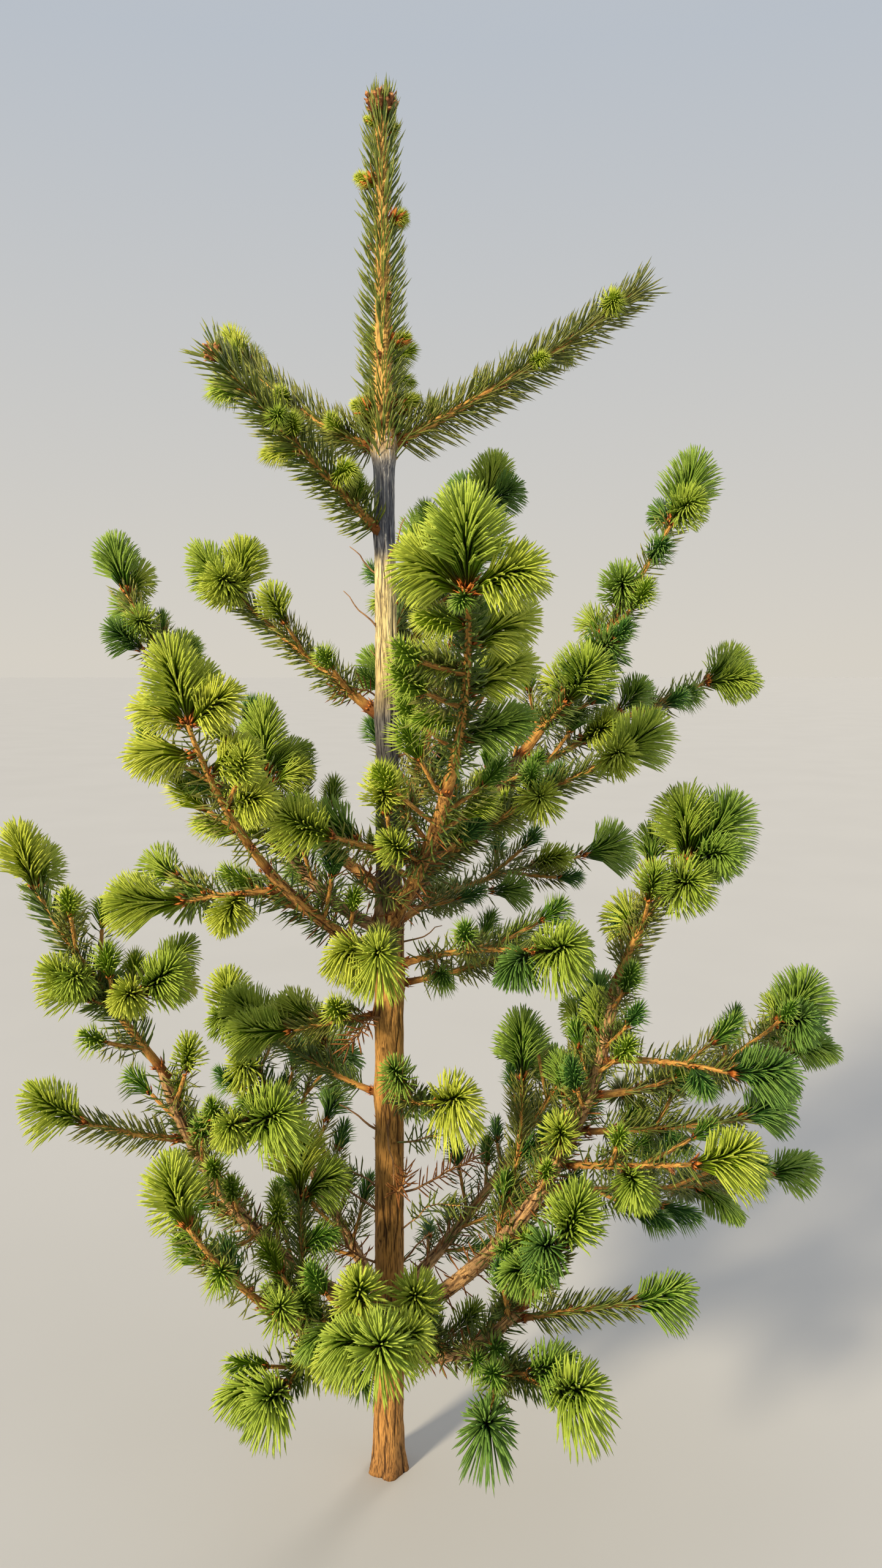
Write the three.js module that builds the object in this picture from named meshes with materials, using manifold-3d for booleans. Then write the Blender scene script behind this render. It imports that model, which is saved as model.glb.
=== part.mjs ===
// A young spruce tree in spring, rooted in the ground and about 0.9 m tall: a straight trunk, curved
// boughs, and shoots of last year's dark needles that end in tufts of soft new ones.
// Millimetres, +Z up, the origin at the middle of the flat cut at ground level, +Y away from the viewer.
// A bearing is a direction in the ground plane: 0 is +X, 90 is +Y. A rise is the angle above level.
import * as THREE from "three";
import { mergeVertices } from "three/addons/utils/BufferGeometryUtils.js";
import Module from "manifold-3d";

const wasm = await Module();
wasm.setup();

// Clearance round the trunk, and from a limb or the trunk to the foot of a shoot.
const GAP = 0.3;
const SEAT = 0.4;
// Needles stay this far from other masses, and this far from the other shoots of their own mass. They are
// checked as rods of this radius, from just off their roots.
const NEEDLE_GAP = 0.6;
const OWN_GAP = 0.2;
const NEEDLE_RADIUS = 0.5;
const NEEDLE_ROOT = 0.22;

// The trunk's radius at each height, from the root flare to the leader's tip, its lean and its slight sway.
const TRUNK_SIDES = 12;
const TRUNK_RINGS = 24;
const TRUNK_TOP = 880;
const TRUNK_PROFILE = [
  [0, 13.5], [14, 11.2], [40, 10.2], [104, 10.8], [125, 9.9], [240, 9.6], [350, 9.4], [384, 9.9],
  [410, 8.2], [520, 7.2], [660, 6.4], [684, 7.4], [700, 5.4], [800, 4.2], [880, 2.6],
];
const TRUNK_LEAN = 2;
const TRUNK_SWAY = 1.6;
const TRUNK_SWAYS = 1.5;

// Boughs, each one tapering limb with a collar at the trunk. A row is its name, the height where it leaves
// the trunk, its bearing and rise there, how far it turns and lifts on its way, its length, and its thickness
// at the trunk and at its end.
const LIMB_SIDES = 6;
const LIMB_STEP = 20;
const COLLAR = 0.3;
const COLLAR_LENGTH = 9;
const LIMBS = [
  ["front_tall", 378, -62, 44, -16, -2, 150, 9.5, 7],
  ["left_front", 358, -138, 27, 14, 18, 125, 8.5, 6],
  ["left_grey", 376, 190, 22, -30, 34, 88, 8.5, 6.5],
  ["left_long", 400, 140, 24, 26, 26, 175, 8, 5.5],
  ["right_tall", 386, 17, 45, -7, 8, 135, 10.5, 8.5],
  ["back_tall", 416, 80, 30, -8, 16, 120, 9, 6.5],
  ["left_low", 110, -160, 30, 8, 46, 250, 10, 6],
  ["right_low", 108, -38, 33, 50, 50, 300, 11.5, 6.5],
  ["right_front_low", 96, -66, 6, 40, 50, 150, 9, 6],
  ["left_front_low", 89, -119, 24, -18, 24, 140, 8.5, 5.5],
  ["back_left_low", 114, 122, 22, 14, 24, 130, 9, 6],
  ["back_right_low", 116, 52, 16, -16, 26, 140, 9, 6],
].map(([name, at, bearing, rise, turn, lift, length, thick, thin]) => (
  { name, at, bearing, rise, turn, lift, length, thick, thin }
));

// Masses of foliage: each is one shoot with its tufts and twigs. A row is its name, what it grows on and
// where: a height on the trunk, or a share of a limb's length, 1 being its end. Then come its bearing, rise,
// turn, lift and length, as for a limb, its thickness, the number of tufts at its tip and along its sides,
// and, where it has them, how far its tufts have opened and its twigs. A twig is its place along the shoot,
// bearing, rise, length and number of tufts.
const MASSES = [
  ["right_top_spray", "trunk", 683, 11, 27, 0, 11, 184, 6.5, 0, 4, 0.66],
  ["left_top_spray", "trunk", 681, 150, 20, 10, 26, 112, 6, 3, 3, 0.7],
  ["back_top_spray", "trunk", 680, 92, 50, 0, 10, 62, 5, 2, 2, 0.7],
  ["left_brown_spray", "trunk", 628, -133, 34, -14, 8, 138, 5.5, 0, 4, 0.75],
  ["left_mid_spray", "trunk", 513, 172, 38, 16, 4, 110, 6.5, 4, 0],
  ["right_mid_spray", "trunk", 528, 58, 50, 0, -6, 165, 6, 3, 3],
  ["back_high_spray", "trunk", 560, 78, 28, 0, 14, 100, 5.5, 2, 2],
  ["front_tall_crown", "front_tall", 1, -78, 42, -16, -2, 156, 6.8, 5, 6],
  ["left_front_crown", "left_front", 1, -124, 45, 12, 16, 110, 5.8, 4, 5],
  ["left_grey_crown", "left_grey", 1, 152, 60, -20, 20, 52, 5.4, 2, 2],
  ["left_long_crown", "left_long", 1, 166, 50, 14, 12, 112, 5.3, 2, 4],
  ["right_tall_crown", "right_tall", 1, 10, 53, -8, 8, 182, 7.2, 3, 6, 1, [[0.12, -56, 36, 32, 1]]],
  ["back_tall_crown", "back_tall", 1, 74, 46, -6, 14, 110, 6, 3, 4, 1, [[0.2, 130, 30, 50, 2]]],
  ["left_low_crown", "left_low", 1, -161, 56, -24, 4, 132, 5.6, 2, 3, 1,
    [[0.38, -30, 24, 26, 3], [0.36, -140, 30, 14, 1]]],
  ["right_low_crown", "right_low", 1, 2, 72, 10, -26, 88, 5.8, 5, 2, 1.12],
  ["right_front_low_crown", "right_front_low", 1, -30, 56, -10, 6, 52, 5.6, 3, 1],
  ["left_front_low_crown", "left_front_low", 1, -137, 46, -14, 14, 80, 5, 2, 3],
  ["back_left_low_crown", "back_left_low", 1, 136, 40, 10, 18, 110, 5.6, 3, 4, 1, [[0.15, 80, 30, 60, 2]]],
  ["back_right_low_crown", "back_right_low", 1, 38, 40, -8, 18, 110, 5.6, 3, 4, 1, [[0.2, 92, 26, 60, 2]]],
  ["front_low_spray", "trunk", 116, -92, 22, 6, 6, 165, 6, 3, 2],
  ["right_front_spray", "trunk", 388, -20, 46, 0, -22, 158, 5, 2, 2],
  ["right_back_spray", "trunk", 378, 60, 10, -36, -6, 186, 5, 1, 2],
  ["right_far_spray", "right_tall", 0.72, 24, 30, 8, -16, 180, 5, 2, 3],
  ["left_side_spray", "left_front", 0.84, -166, -2, 0, -4, 52, 4.6, 1, 2],
  ["front_left_spray", "front_tall", 0.5, -140, 22, -10, -4, 58, 4.6, 1, 1],
  ["left_low_outer_spray", "left_low", 0.8, -158, 14, 0, 10, 58, 4.4, 1, 0],
  ["left_low_inner_spray", "left_low", 0.82, -38, 20, 0, 0, 52, 4.4, 2, 0],
  ["right_low_outer_spray", "right_low", 0.76, 26, -4, 12, 6, 172, 5, 3, 1, 1, [[0.5, 4, 34, 60, 3]]],
  ["right_low_front_spray", "right_low", 0.84, -28, 12, 0, -16, 74, 4.6, 1, 1],
  ["right_low_middle_spray", "right_low", 0.68, -4, 2, 20, 0, 100, 4.4, 1, 1],
  ["right_low_near_spray", "right_low", 0.6, -38, 14, 6, 2, 84, 4.8, 1, 1],
  ["right_low_under_spray", "right_low", 0.54, 28, -16, 0, 12, 186, 5, 1, 1, 1, [[0.55, 60, -22, 60, 1]]],
  ["right_low_upright_spray", "right_low", 0.36, 60, 42, 20, 40, 100, 4.4, 1, 1],
  ["right_front_outer_spray", "right_front_low", 0.92, 2, 8, 0, -2, 66, 4.4, 1, 0],
  ["right_front_near_spray", "right_front_low", 0.66, -56, 10, 0, 6, 66, 4.4, 1, 0, 1,
    [[0.3, -100, 0, 40, 1]]],
  ["right_front_inner_spray", "right_front_low", 0.42, -100, 52, 0, -6, 66, 4.4, 1, 0],
  ["left_front_star_spray", "left_front_low", 0.42, -78, 44, 0, -4, 96, 4.6, 1, 1],
  ["left_front_down_spray", "left_front_low", 0.6, -104, 4, 0, 0, 46, 4.4, 2, 0],
  ["left_front_dark_spray", "left_front_low", 0.72, 100, 68, 0, 0, 72, 4.4, 2, 1],
  ["left_dipping_spray", "trunk", 322, -162, -4, 0, -2, 54, 4.2, 2, 1],
  ["left_rising_spray", "trunk", 264, 166, 16, -6, 14, 76, 4.4, 2, 1],
  ["front_short_spray", "trunk", 376, -94, 6, 8, 0, 84, 4.4, 2, 0],
  ["front_right_spray", "trunk", 352, -34, 22, -22, -16, 116, 4.8, 3, 0],
  ["front_middle_spray", "trunk", 262, -64, 18, 0, 0, 62, 4.2, 1, 0],
  ["right_short_spray", "trunk", 340, 22, 4, 0, 10, 104, 4.4, 0, 1, 1, [[0.3, -6, 20, 66, 0]]],
].map(([name, on, at, bearing, rise, turn, lift, length, thick, tips, sides, open = 1, twigs = []]) => (
  { name, on, at, bearing, rise, turn, lift, length, thick, tips, sides, open, twigs }
));

// The leader's needles: a sleeve round each half of the trunk's top, and the small tufts on it, each at its
// height, bearing and length.
const SLEEVE_SIDES = 7;
const SLEEVE_WALL = 1.2;
const SLEEVE_LEAN = 26;
const SLEEVE_TUFT_RISE = 42;
const LEADER_SLEEVES = [
  {
    name: "leader_lower_needles",
    from: 694,
    to: 786,
    tufts: [[700, -28, 17], [708, 150, 16], [757, 10, 17]],
  },
  { name: "leader_upper_needles", from: 792, to: 886, tufts: [[824, -20, 16], [852, 176, 19]] },
];

// Shoots: a three-sided twig with a ring of old needles at every step, bare for a short way from its foot.
const ARC_STEPS = 24;
const TWIG_TIP = 2.4;
const TWIG_THICK = 3.6;
const SPUR_STEP = 18;
const SPUR_LENGTH = 17;
const SPUR_ANGLE = 44;
const BARE_START = 12;

// Tufts: a larger one at a shoot's tip and smaller ones along its sides. A tuft's waist and thickness and its
// needles are shares of its length, its needles spread by these angles, and its foot is sunk in the shoot.
const TIP_TUFT = 43;
const SIDE_TUFT = 34;
const TIP_TUFT_SIDES = 6;
const SIDE_TUFT_SIDES = 5;
const TUFT_WAIST = 0.38;
const TUFT_THICK = 0.3;
const NEEDLE_SHARE = 0.52;
const LOW_NEEDLE_ANGLE = 64;
const HIGH_NEEDLE_ANGLE = 27;
const SINK = 2.5;
// A tuft that has no room is tried again at this share of its length, and then left out.
const SHORTER = 0.72;

// The first tuft at a tip grows straight on. The others fork off it by an angle, rolled round it by turns,
// and those along a shoot stand out to its two sides.
const AHEAD_SIZE = 1.06;
const FORKED_SIZE = 0.88;
const TIP_FORK = 50;
const SIDE_FORK = 56;
const TIP_ROLLS = [15, 165, 88, -80];
const SIDE_ROLLS = [8, 172];
const SIDES_FROM = 0.9;
const SIDES_SPAN = 0.66;
const SEED = 4100;

// A tuft's core is kept clear over this span of its length.
const CORE_SPAN = [0.15, 0.9];

// Small limits: faces that lie in one plane to within THINNING are merged, and the faces of a sleeve's end
// are told by how near the axis they lie.
const THINNING = 0.1;
const MERGE = 1e-4;
const RING_GAP = 4;
const END_FACES = 0.6;
const STRAIGHT_UP = 0.05;
const PARALLEL = 1e-9;

const radians = THREE.MathUtils.degToRad;
const vector = (x = 0, y = 0, z = 0) => new THREE.Vector3(x, y, z);

// Seeded random numbers from 0 to 1, the same on every run.
function seeded(seed) {
  let state = seed >>> 0;
  return () => {
    state = (state + 0x6d2b79f5) >>> 0;
    let t = state;
    t = Math.imul(t ^ (t >>> 15), t | 1);
    t = (t ^ (t + Math.imul(t ^ (t >>> 7), t | 61))) >>> 0;
    return ((t ^ (t >>> 14)) >>> 0) / 4294967296;
  };
}

// The direction with this bearing and rise.
function heading(bearing, rise) {
  const level = Math.cos(radians(rise));
  const [east, north] = [Math.cos(radians(bearing)), Math.sin(radians(bearing))];
  return vector(level * east, level * north, Math.sin(radians(rise)));
}

// The direction that leaves way by an angle towards away, which is square to it.
function lean(way, away, angle) {
  return way.clone().multiplyScalar(Math.cos(radians(angle))).addScaledVector(away, Math.sin(radians(angle)));
}

// The direction that leaves way by an angle, rolled round it from its right-hand side.
function fork(way, angle, roll) {
  const side = way.clone().cross(vector(0, 0, 1));
  if (side.length() < STRAIGHT_UP) side.set(1, 0, 0);
  side.normalize();
  return lean(way, lean(side, side.clone().cross(way), roll), angle);
}

// The way that a curved limb or shoot goes at a share of its length, and its points from start to end.
function headingOn({ bearing, rise, turn = 0, lift = 0 }, share) {
  return heading(bearing + turn * share, rise + lift * share);
}

function arc(start, aim) {
  const points = [start.clone()];
  for (let k = 0; k < ARC_STEPS; k++) {
    const step = headingOn(aim, (k + 0.5) / ARC_STEPS).multiplyScalar(aim.length / ARC_STEPS);
    points.push(points[k].clone().add(step));
  }
  return points;
}

function pointOn(points, share) {
  const place = THREE.MathUtils.clamp(share, 0, 1) * (points.length - 1);
  const k = Math.min(Math.floor(place), points.length - 2);
  return points[k].clone().lerp(points[k + 1], place - k);
}

const evenly = (points, count) => Array.from({ length: count + 1 }, (_, k) => pointOn(points, k / count));
const centre = ([a, b, c]) => a.clone().add(b).add(c).divideScalar(3);

// The value at x of a line through the given stations.
function between(stations, x) {
  const after = stations.findIndex(([at]) => at >= x);
  const k = after < 0 ? stations.length - 1 : Math.max(1, after);
  const [[x0, y0], [x1, y1]] = [stations[k - 1], stations[k]];
  return y0 + (y1 - y0) * THREE.MathUtils.clamp((x - x0) / (x1 - x0), 0, 1);
}

function trunkAxis(height) {
  const share = height / TRUNK_TOP;
  return vector(TRUNK_LEAN * share + TRUNK_SWAY * Math.sin(TRUNK_SWAYS * Math.PI * share), 0, height);
}

const trunkRadius = (height) => between(TRUNK_PROFILE, height);

// The shape with its vertices shared, and without the faces that have no area.
function merged(shape) {
  shape.deleteAttribute("normal");
  shape.deleteAttribute("uv");
  const joined = mergeVertices(shape, MERGE);
  const faces = [];
  for (let i = 0; i < joined.index.count; i += 3) {
    const [a, b, c] = [0, 1, 2].map((k) => joined.index.getX(i + k));
    if (a !== b && b !== c && c !== a) faces.push(a, b, c);
  }
  return joined.setIndex(faces);
}

// A closed tube round a line of points, with a ring at each and its radius given by the ring's share.
// Each ring is turned against the last by twist, in sides, and the rings of a level tube lie flat.
function tube(points, radiusAt, sides, { twist = 0, level = false } = {}) {
  const curve = new THREE.CatmullRomCurve3(points);
  const rings = points.length - 1;
  const shape = merged(new THREE.CylinderGeometry(1, 1, 1, sides, rings));
  const frames = curve.computeFrenetFrames(rings, false);
  const place = shape.attributes.position;
  const at = vector();
  for (let i = 0; i < place.count; i++) {
    at.fromBufferAttribute(place, i);
    const ring = Math.round((at.y + 0.5) * rings);
    const radius = radiusAt(ring / rings) * Math.hypot(at.x, at.z);
    const angle = Math.atan2(at.x, at.z) - (ring * twist * 2 * Math.PI) / sides;
    const across = level ? vector(1, 0, 0) : frames.normals[ring];
    const beside = level ? vector(0, 1, 0) : frames.binormals[ring];
    const spot = points[ring].clone();
    spot.addScaledVector(across, radius * Math.sin(angle));
    spot.addScaledVector(beside, -radius * Math.cos(angle));
    place.setXYZ(i, spot.x, spot.y, spot.z);
  }
  return shape;
}

// The same surface with a needle standing on each face that needleOn gives a tip for.
function needled(shape, needleOn) {
  const place = shape.attributes.position;
  const index = shape.index.array;
  const spots = [...place.array];
  const faces = [];
  for (let i = 0; i < index.length; i += 3) {
    const corners = [index[i], index[i + 1], index[i + 2]];
    const tip = needleOn(corners.map((c) => vector().fromBufferAttribute(place, c)), i / 3);
    if (!tip) {
      faces.push(...corners);
      continue;
    }
    const top = spots.length / 3;
    spots.push(tip.x, tip.y, tip.z);
    corners.forEach((c, k) => faces.push(c, corners[(k + 1) % 3], top));
  }
  const made = new THREE.BufferGeometry();
  made.setAttribute("position", new THREE.BufferAttribute(new Float32Array(spots), 3));
  return made.setIndex(faces);
}

function solidOf(shape) {
  return new wasm.Manifold(new wasm.Mesh({
    numProp: 3,
    vertProperties: new Float32Array(shape.attributes.position.array),
    triVerts: new Uint32Array(shape.index.array),
  }));
}

function geometryOf(solid) {
  const { vertProperties, triVerts } = solid.simplify(THINNING).getMesh();
  const made = new THREE.BufferGeometry();
  made.setAttribute("position", new THREE.BufferAttribute(vertProperties, 3));
  made.setIndex(new THREE.BufferAttribute(triVerts, 1));
  made.computeVertexNormals();
  return made;
}

// The largest body of a solid: a scrap that came loose is dropped.
function whole(solid) {
  return solid.decompose().sort((a, b) => b.volume() - a.volume())[0];
}

// The space that each shoot of each node already takes, as rods with round ends.
const taken = [];

function take(owner, shoot, from, to, radius) {
  taken.push({ owner, shoot, from: from.clone(), to: to.clone(), radius });
}

function takeLine(owner, shoot, points, radiusAt) {
  for (let k = 1; k < points.length; k++) {
    take(owner, shoot, points[k - 1], points[k], radiusAt((k - 0.5) / (points.length - 1)));
  }
}

// The shortest distance between two straight stretches.
function distance(a, b, c, d) {
  const [u, v, w] = [b.clone().sub(a), d.clone().sub(c), a.clone().sub(c)];
  const [uu, uv, vv, uw, vw] = [u.dot(u), u.dot(v), v.dot(v), u.dot(w), v.dot(w)];
  const clamp = (x) => THREE.MathUtils.clamp(x, 0, 1);
  const spread = uu * vv - uv * uv;
  let s = spread > PARALLEL ? clamp((uv * vw - vv * uw) / spread) : 0;
  const t = clamp((uv * s + vw) / vv);
  s = clamp((uv * t - uw) / uu);
  return w.addScaledVector(u, s).addScaledVector(v, -t).length();
}

// Whether a rod keeps its gap to every other node and, where there is an own gap, to the other shoots of
// its own node.
function clear(owner, shoot, from, to, radius, ownGap = OWN_GAP) {
  return taken.every((other) => {
    if (other.owner === owner && (other.shoot === shoot || ownGap === null)) return true;
    const reach = radius + other.radius + (other.owner === owner ? ownGap : NEEDLE_GAP);
    const far = reach + from.distanceTo(to) + other.from.distanceTo(other.to);
    if (from.distanceTo(other.from) > far) return true;
    return distance(from, to, other.from, other.to) > reach;
  });
}

// A needle is a thin pyramid on one face of its shoot. It is skipped where it would touch another node.
function freeNeedle(owner, shoot, corners, tip) {
  const middle = centre(corners);
  const roots = [...corners, middle].map((c) => c.clone().lerp(middle, 0.2).lerp(tip, NEEDLE_ROOT));
  if (!roots.every((root) => clear(owner, shoot, root, tip, NEEDLE_RADIUS))) return false;
  roots.forEach((root) => take(owner, shoot, root, tip, NEEDLE_RADIUS));
  return true;
}

// The trunk: a tapered, slightly swaying tube with a root flare, swollen at each whorl of boughs. With extra
// it is that much thicker and taller, to cut its neighbours clear of it.
function trunkSolid(extra = 0) {
  const heights = TRUNK_PROFILE.map(([at]) => at);
  for (let k = 1; k < TRUNK_RINGS; k++) heights.push((TRUNK_TOP * k) / TRUNK_RINGS);
  heights.sort((a, b) => a - b);
  const rings = heights.filter((at, k) => k === 0 || at - heights[k - 1] > RING_GAP);
  if (extra) rings.push(TRUNK_TOP + extra);
  const radiusAt = (share) => trunkRadius(rings[Math.round(share * (rings.length - 1))]) + extra;
  return solidOf(tube(rings.map(trunkAxis), radiusAt, TRUNK_SIDES, { level: true }));
}

// A bough: a tapering tube with a collar where it leaves the trunk, cut clear of the trunk.
function limbRadius({ length, thick, thin }, share) {
  const collar = 1 + COLLAR * Math.exp((-share * length) / COLLAR_LENGTH);
  return (THREE.MathUtils.lerp(thick, thin, share) / 2) * collar;
}

function limbSolid(limb, grownTrunk) {
  const points = evenly(limb.points, Math.round(limb.length / LIMB_STEP));
  const solid = solidOf(tube(points, (share) => limbRadius(limb, share), LIMB_SIDES));
  return whole(solid.subtract(grownTrunk));
}

// Where a mass's stem starts: just clear of the end or the side of what carries it.
function footOf(mass, limbs) {
  const aim = heading(mass.bearing, mass.rise);
  const half = mass.thick / 2;
  if (mass.on === "trunk") {
    const reach = (trunkRadius(mass.at) + SEAT + half * Math.abs(aim.z)) / Math.cos(radians(mass.rise));
    return trunkAxis(mass.at).addScaledVector(aim, reach);
  }
  const limb = limbs.get(mass.on);
  const way = headingOn(limb, mass.at);
  const spot = pointOn(limb.points, mass.at);
  const across = aim.clone().cross(way).length();
  if (mass.at === 1) return spot.addScaledVector(way, SEAT + half * across);
  const reach = (limbRadius(limb, mass.at) + SEAT + half * Math.abs(aim.dot(way))) / across;
  return spot.addScaledVector(aim, reach);
}

// The shoots of a mass, its stem first, and the tufts that stand on them.
function growMass(mass, seed) {
  const random = seeded(seed);
  const vary = (middle, spread) => middle + spread * (2 * random() - 1);
  const shoots = [];
  const tufts = [];

  const addTip = (shoot, k) => {
    const way = headingOn(shoot, 1);
    const angle = k ? vary(TIP_FORK, 7) : vary(6, 5);
    const roll = k ? TIP_ROLLS[(k - 1) % TIP_ROLLS.length] + vary(0, 14) : 90;
    const length = TIP_TUFT * mass.open * vary(k ? FORKED_SIZE : AHEAD_SIZE, 0.1);
    const foot = shoot.points.at(-1).clone().addScaledVector(way, -SINK);
    tufts.push({ foot, way: fork(way, angle, roll), length, sides: TIP_TUFT_SIDES });
  };

  const addSide = (shoot, k) => {
    const share = SIDES_FROM - (SIDES_SPAN * (k + vary(0.5, 0.2))) / mass.sides;
    const way = fork(headingOn(shoot, share), vary(SIDE_FORK, 7), SIDE_ROLLS[k % 2] + vary(0, 26));
    const length = SIDE_TUFT * mass.open * vary(1, 0.18);
    tufts.push({ foot: pointOn(shoot.points, share), way, length, sides: SIDE_TUFT_SIDES });
  };

  const addShoot = (foot, aim, tips, sides) => {
    const shoot = { ...aim, points: arc(foot, aim) };
    shoots.push(shoot);
    for (let k = 0; k < tips; k++) addTip(shoot, k);
    for (let k = 0; k < sides; k++) addSide(shoot, k);
  };

  addShoot(mass.foot, mass, mass.tips, mass.sides);
  for (const [share, bearing, rise, length, tips] of mass.twigs) {
    addShoot(pointOn(shoots[0].points, share), { bearing, rise, length, thick: TWIG_THICK }, tips, 0);
  }
  return { shoots, tufts };
}

const shootRadius = ({ thick }, share) => THREE.MathUtils.lerp(thick, TWIG_TIP, share) / 2;

// A shoot of old needles: a three-sided twig that carries a needle on every other face, leaning forward.
function shootSolid(owner, shoot, id) {
  const points = evenly(shoot.points, Math.max(2, Math.round(shoot.length / SPUR_STEP)));
  const start = points[0];
  const reach = start.distanceTo(points.at(-1));
  const twig = tube(points, (share) => shootRadius(shoot, share), 3, { twist: 0.5 });
  return solidOf(needled(twig, (corners, face) => {
    const middle = centre(corners);
    const far = middle.distanceTo(start);
    if (face % 2 || far < BARE_START || far > reach) return null;
    const way = headingOn(shoot, far / reach);
    const out = middle.clone().sub(pointOn(points, far / reach));
    const away = out.addScaledVector(way, -out.dot(way)).normalize();
    const tip = middle.clone().addScaledVector(lean(way, away, SPUR_ANGLE), SPUR_LENGTH);
    return freeNeedle(owner, id, corners, tip) ? tip : null;
  }));
}

// A tuft of new needles: a slim core pointed at both ends, whose faces each carry a needle. Those of its
// lower half spread wide and those of its upper half close round its tip.
function tuftSolid(owner, { foot, way, length, sides, id }) {
  const waist = new THREE.Vector2((TUFT_THICK * length) / 2, TUFT_WAIST * length);
  const outline = [new THREE.Vector2(0, 0), waist, new THREE.Vector2(0, length)];
  const core = merged(new THREE.LatheGeometry(outline, sides));
  core.applyQuaternion(new THREE.Quaternion().setFromUnitVectors(vector(0, 1, 0), way));
  core.translate(foot.x, foot.y, foot.z);
  return solidOf(needled(core, (corners) => {
    const middle = centre(corners);
    const up = middle.clone().sub(foot).dot(way);
    const away = middle.clone().sub(foot).addScaledVector(way, -up).normalize();
    const angle = up < waist.y ? LOW_NEEDLE_ANGLE : HIGH_NEEDLE_ANGLE;
    const tip = middle.clone().addScaledVector(lean(way, away, angle), NEEDLE_SHARE * length);
    return freeNeedle(owner, id, corners, tip) ? tip : null;
  }));
}

// A sleeve of needles round the leader, with small tufts on it, cut clear of the trunk inside it.
function sleeveSolid({ name, from, to, tufts }, grownTrunk) {
  const rings = Math.round((to - from) / SPUR_STEP);
  const points = evenly([from, to].map(trunkAxis), rings).map(({ z }) => trunkAxis(z));
  const radiusAt = (share) => trunkRadius(THREE.MathUtils.lerp(from, to, share)) + GAP + SLEEVE_WALL;
  const sleeve = tube(points, radiusAt, SLEEVE_SIDES, { twist: 0.5, level: true });
  const bristling = needled(sleeve, (corners, face) => {
    const middle = centre(corners);
    const out = middle.clone().sub(trunkAxis(middle.z)).setZ(0);
    const onEnd = out.length() < radiusAt(1) * END_FACES;
    if (onEnd ? middle.z < to - 1 : face % 2) return null;
    const way = lean(vector(0, 0, 1), out.normalize(), SLEEVE_LEAN);
    const tip = middle.clone().addScaledVector(way, SPUR_LENGTH);
    return freeNeedle(name, "sleeve", corners, tip) ? tip : null;
  });
  const small = tufts.map(([height, bearing, length]) => {
    const way = heading(bearing, SLEEVE_TUFT_RISE);
    const foot = trunkAxis(height).addScaledVector(heading(bearing, 0), trunkRadius(height) + GAP);
    return tuftSolid(name, { foot, way, length, sides: SIDE_TUFT_SIDES, id: "sleeve" });
  });
  return whole(wasm.Manifold.union([solidOf(bristling), ...small]).subtract(grownTrunk));
}

// Everything is laid out first, so that each needle knows what it has to keep clear of: the trunk, the
// limbs, the shoots of all masses, and then the cores of the tufts that have room.
const trunkLine = evenly([0, TRUNK_TOP].map(trunkAxis), ARC_STEPS).map(({ z }) => trunkAxis(z));
takeLine("trunk", 0, trunkLine, (share) => trunkRadius(share * TRUNK_TOP));

const limbs = new Map();
for (const limb of LIMBS) {
  limb.points = arc(trunkAxis(limb.at), limb);
  takeLine(limb.name, 0, limb.points, (share) => limbRadius(limb, share));
  limbs.set(limb.name, limb);
}

MASSES.forEach((mass, index) => {
  mass.foot = footOf(mass, limbs);
  Object.assign(mass, growMass(mass, SEED + index));
  mass.shoots.forEach((shoot, id) => {
    takeLine(mass.name, id, shoot.points, (share) => shootRadius(shoot, share));
  });
});

function coreOf({ foot, way, length }) {
  const [from, to] = CORE_SPAN.map((share) => foot.clone().addScaledVector(way, share * length));
  return [from, to, (TUFT_THICK * length) / 3];
}

for (const mass of MASSES) {
  const free = (tuft) => clear(mass.name, tuft.id, ...coreOf(tuft), null);
  mass.tufts.forEach((tuft, k) => Object.assign(tuft, { id: `tuft ${k}` }));
  mass.tufts = mass.tufts.filter((tuft) => {
    if (!free(tuft)) tuft.length *= SHORTER;
    return free(tuft);
  });
  mass.tufts.forEach((tuft) => take(mass.name, tuft.id, ...coreOf(tuft)));
}

// The tree.
const bark = new THREE.MeshStandardMaterial({ color: 0x8a7560, roughness: 0.9, metalness: 0 });
const youngBark = new THREE.MeshStandardMaterial({ color: 0xa9713c, roughness: 0.85, metalness: 0 });
const oldNeedles = new THREE.MeshStandardMaterial({ color: 0x4d5f2c, roughness: 0.6, metalness: 0 });
const newNeedles = new THREE.MeshStandardMaterial({ color: 0x86a83e, roughness: 0.6, metalness: 0 });
const tree = new THREE.Group();

function addNode(name, solid, material) {
  const mesh = new THREE.Mesh(geometryOf(solid), material);
  mesh.name = name;
  tree.add(mesh);
}

const grownTrunk = trunkSolid(GAP);
addNode("trunk", trunkSolid(), bark);
for (const limb of LIMBS) addNode(limb.name, limbSolid(limb, grownTrunk), youngBark);
for (const sleeve of LEADER_SLEEVES) addNode(sleeve.name, sleeveSolid(sleeve, grownTrunk), oldNeedles);
for (const { name, shoots, tufts } of MASSES) {
  const fresh = tufts.map((tuft) => tuftSolid(name, tuft));
  const old = shoots.map((shoot, id) => shootSolid(name, shoot, id));
  addNode(name, whole(wasm.Manifold.union([...old, ...fresh])), newNeedles);
}

export default tree;
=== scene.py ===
# %% [markdown]
# # A young spruce in spring
#
# The real tree stands about 90 cm tall: a straight trunk as thick as a thumb, a dozen curved boughs, and
# shoots whose soft new needles have just broken out of their buds. It could be sculpted or simulated, but it
# is made of thousands of alike pieces that grow by a rule. So the rule is written down here, and numpy lays
# out all the points at once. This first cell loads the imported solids, which fix every size and place.

# %% Load the solids
import math

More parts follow.
